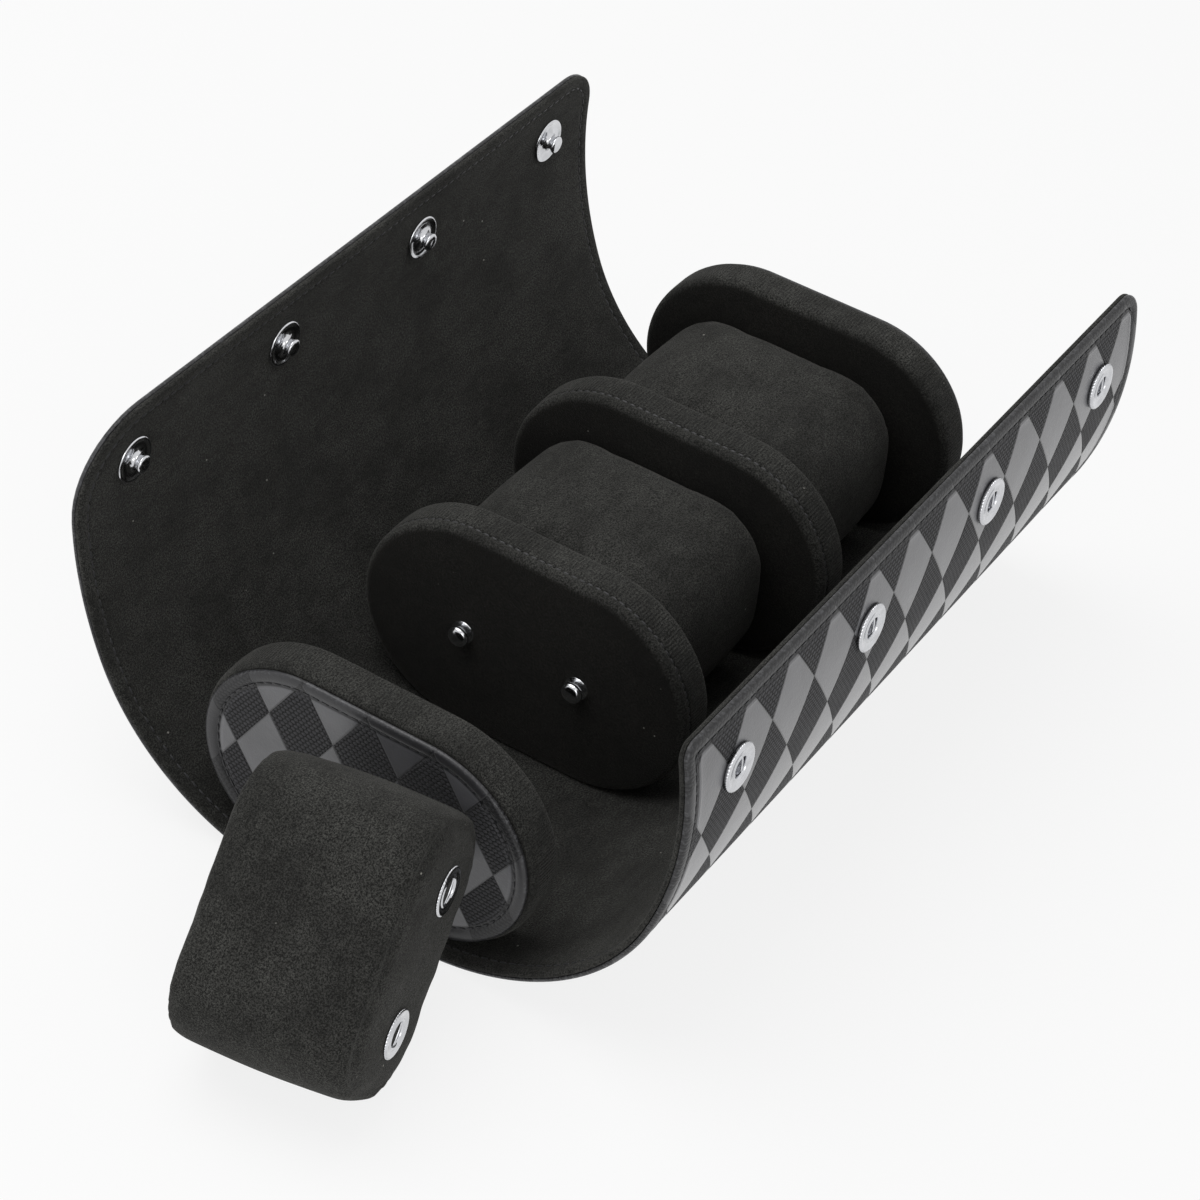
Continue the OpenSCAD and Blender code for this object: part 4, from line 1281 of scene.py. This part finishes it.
class WATCHCASE_OT_wrap_stitches(bpy.types.Operator):
    """Sews the edges of the wrap, on the leather and on the lining"""
    bl_idname = "watch_case.wrap_stitches"
    bl_label = "Wrap stitches"

    def execute(self, context):
        case = context.scene.watch_case
        for sign in (1, -1):
            flap = Flap(case, sign)
            for part, word, sheet in flap.sheets():
                for face, depth, way in (("outer", OUTER_THREAD_DEPTH, 1), ("inner", INNER_THREAD_DEPTH, -1)):
                    lines, lifts = self.lines(flap, sheet, case, depth, way)
                    piece = sew(f"{flap.name}_{word}_{face}_stitches", lines, lifts, case.stitches)
                    flap.bend(piece, part)
        return {"FINISHED"}

    def lines(self, flap, sheet, case, depth, way):
        """The stitched line, kept half a stitch clear of each seam."""
        clear = case.stitches.pitch / 2
        edge = sheet.edge(case.wrap.hem)
        edge[:, 1] = np.clip(edge[:, 1], sheet.start + clear, None if sheet.corners else sheet.end - clear)
        ends = [edge] if sheet.corners else [edge[:sheet.rows], edge[sheet.rows:]]
        return ([flap.point(e[:, 0], e[:, 1], depth) for e in ends],
                [way * flap.outward(e[:, 1]) for e in ends])


# Insets, depths and stitches of the discs
FACE_INSET = mm(1.2)
FACE_CHANNEL = mm(3.45)
FACE_THREAD_DEPTH = mm(0.5)
SEAM_DEPTH = mm(3.15)
SEAM_INSET = mm(0.25)
SEAM_PITCH = mm(2.2)


class WATCHCASE_OT_discs(bpy.types.Operator):
    """Makes the suede dividers and end caps with their seams"""
    bl_idname = "watch_case.discs"
    bl_label = "Discs"

    def execute(self, context):
        case = context.scene.watch_case
        for name in ("front_divider", "rear_divider"):
            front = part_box(f"{name}_cover")[0].x
            self.cover(name, DIVIDER_ROWS, front, 1)
            self.seam(case, f"{name}_seam", front + SEAM_DEPTH)
        for name, way in (("front_cap", -1), ("rear_cap", 1)):
            low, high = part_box(f"{name}_face")
            front = low.x if way < 0 else high.x
            self.cover(name, CAP_ROWS, front, -way)
            self.face(case, name, front, -way)
        return {"FINISHED"}

    def cover(self, name, rows, front, direction):
        """The suede cover of a disc."""
        piece = oval_piece(f"{name}_suede", rows, front, direction, DISC_WIDTH, DISC_HEIGHT, "disc")
        stand_in(piece, [f"{name}_cover"], "base")

    def face(self, case, name, front, direction):
        """A leather face with a rolled edge and a stitched channel inside it."""
        wide, high = DISC_WIDTH - 2 * FACE_INSET, DISC_HEIGHT - 2 * FACE_INSET
        piece = oval_piece(f"{name}_leather", FACE_ROWS, front, direction, wide, high, "leather", planar=True)
        stand_in(piece, [f"{name}_face"], "base")
        line, _ = oval_line(wide, high, FACE_CHANNEL)
        points = [(front + direction * FACE_THREAD_DEPTH, y, DISC_MIDDLE + z) for y, z in [*line, line[0]]]
        sewn = sew(f"{name}_stitches", [points], [[(-direction, 0, 0)] * len(points)], case.stitches)
        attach(sewn, "base")

    def seam(self, case, name, x):
        """Stitches round the rim of a disc, at a place along the roll."""
        line, _ = oval_line(DISC_WIDTH, DISC_HEIGHT, SEAM_INSET)
        line = np.concatenate([line, line[:1]])
        out, _ = oval_line(DISC_WIDTH, DISC_HEIGHT, SEAM_INSET - mm(1))
        out = np.concatenate([out, out[:1]])
        lifts = [(0, *((o - p) / np.linalg.norm(o - p))) for p, o in zip(line, out)]
        points = [(x, y, DISC_MIDDLE + z) for y, z in line]
        piece = sew(name, [points], [lifts], case.stitches, SEAM_PITCH)
        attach(piece, "base")


class WATCHCASE_OT_cushions(bpy.types.Operator):
    """Makes the three cushions that the watch straps go round"""
    bl_idname = "watch_case.cushions"
    bl_label = "Cushions"

    def execute(self, context):
        case = context.scene.watch_case
        places = {"front_cushion": leaning(case.cushions), "middle_cushion": seat("middle_cushion_cover"),
                  "rear_cushion": seat("rear_cushion_cover")}
        cushion = Cushion(case.cushions)
        for name, place in places.items():
            piece = cushion.cover(f"{name}_suede", place)
            stand_in(piece, [f"{name}_cover"], name)
            foam = stood(cushion.form(f"{name}_foam", FOAM_GAP, "foam"), place)
            stand_in(foam, [f"{name}_core"], name)
            self.sockets(case, name, place)
        return {"FINISHED"}

    def sockets(self, case, name, place):
        """The two sockets in a cushion's far end."""
        shape = socket_with_spring("cushion_socket", *CUSHION_SOCKET)
        half = case.snaps.pair_spacing / 2
        points = [place @ Vector((CUSHION_LENGTH, side * half, 0)) for side in (-1, 1)]
        out = (place.to_3x3() @ Vector((1, 0, 0))).normalized()
        along = (place.to_3x3() @ Vector((0, 0, 1))).normalized()
        piece = set_copies(f"{name}_socket_pair", shape, points, [out] * 2, [along] * 2)
        stand_in(piece, [f"{name}_sockets"], name)


# Depths at which the snaps' parts stand on the flaps
ON_LINING = WRAP_THICKNESS + mm(0.08)
ON_LEATHER = mm(-0.02)
IN_LEATHER = mm(-0.05)


class WATCHCASE_OT_snaps(bpy.types.Operator):
    """Makes the snaps of both flaps and the ball studs of the discs"""
    bl_idname = "watch_case.snaps"
    bl_label = "Snaps"

    def execute(self, context):
        case = context.scene.watch_case
        left, right = Flap(case, 1), Flap(case, -1)
        self.on_flap(left, "left_studs", lathe("stud", STUD_ROWS), ON_LINING, -1)
        self.on_flap(left, "left_stud_caps", lathe("dome", CAP_DOME_ROWS), ON_LEATHER, 1)
        self.on_flap(right, "right_sockets", socket_with_spring("snap_socket", *FLAP_SOCKET), IN_LEATHER, 1)
        self.on_flap(right, "right_socket_caps", lathe("dome", CAP_DOME_ROWS), ON_LINING, -1)
        for name in ("front_divider", "rear_divider", "rear_cap"):
            self.on_disc(case, name)
        return {"FINISHED"}

    def on_flap(self, flap, node, shape, depth, way):
        """A row of snap parts along a flap's tip."""
        places = np.array(flap.snaps())
        points = flap.point(places[:, 0], places[:, 1], depth)
        lifts = way * flap.outward(places[:, 1])
        piece = set_copies(f"{node}_metal", shape, points, lifts, [(1, 0, 0)] * len(points))
        stand_in(piece, [node], f"{flap.name}_tip")

    def on_disc(self, case, name):
        """The two ball studs on a disc."""
        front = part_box(f"{name}_cover")[0].x
        half = case.snaps.pair_spacing / 2
        points = [(front, side * half, DISC_MIDDLE) for side in (-1, 1)]
        piece = set_copies(f"{name}_ball_studs", lathe("ball_stud", BALL_ROWS), points,
                           [(-1, 0, 0)] * 2, [(0, 0, 1)] * 2)
        stand_in(piece, [f"{name}_studs"], "base")


class WATCHCASE_OT_boards(bpy.types.Operator):
    """Gives the boards inside the discs their paper finish"""
    bl_idname = "watch_case.boards"
    bl_label = "Boards"

    def execute(self, context):
        for name in ("front_cap_core", "front_divider_core", "rear_divider_core", "rear_cap_core"):
            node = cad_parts[name]
            node.data.materials.clear()
            node.data.materials.append(finish_of("board"))
        return {"FINISHED"}


class WATCHCASE_PT_panel(bpy.types.Panel):
    """Lists the settings and the pieces of the watch case"""
    bl_idname = "WATCHCASE_PT_panel"
    bl_label = "Watch Case"
    bl_space_type = "VIEW_3D"
    bl_region_type = "UI"
    bl_category = "Watch Case"

    def draw(self, context):
        """Shows a button for each group of pieces, then every setting."""
        case = context.scene.watch_case
        for piece in OPERATORS:
            self.layout.operator(piece.bl_idname)
        for group in case.bl_rna.properties:
            if group.type == "POINTER" and group.identifier != "rna_type":
                box = self.layout.box()
                box.label(text=group.name)
                settings = getattr(case, group.identifier)
                for item in settings.bl_rna.properties:
                    if item.identifier not in ("rna_type", "name"):
                        box.prop(settings, item.identifier)


OPERATORS = (WATCHCASE_OT_stage, WATCHCASE_OT_wrap, WATCHCASE_OT_wrap_stitches, WATCHCASE_OT_discs,
             WATCHCASE_OT_cushions, WATCHCASE_OT_snaps, WATCHCASE_OT_boards)
CLASSES = (StudFlapShape, SocketFlapShape, WrapShape, SnapShape, CushionShape, StitchShape, CaseColours,
           StageLook, WatchCase, *OPERATORS, WATCHCASE_PT_panel)


def register():
    """Makes the settings, operators and panel known to Blender."""
    for cls in CLASSES:
        bpy.utils.register_class(cls)
    bpy.types.Scene.watch_case = PointerProperty(type=WatchCase)


def unregister():
    """Takes them away again."""
    del bpy.types.Scene.watch_case
    for cls in reversed(CLASSES):
        bpy.utils.unregister_class(cls)


def main():
    """Builds the case."""
    register()
    bpy.ops.watch_case.stage()
    bpy.ops.watch_case.wrap()
    bpy.ops.watch_case.wrap_stitches()
    bpy.ops.watch_case.discs()
    bpy.ops.watch_case.cushions()
    bpy.ops.watch_case.snaps()
    bpy.ops.watch_case.boards()


if __name__ == "__main__":
    main()
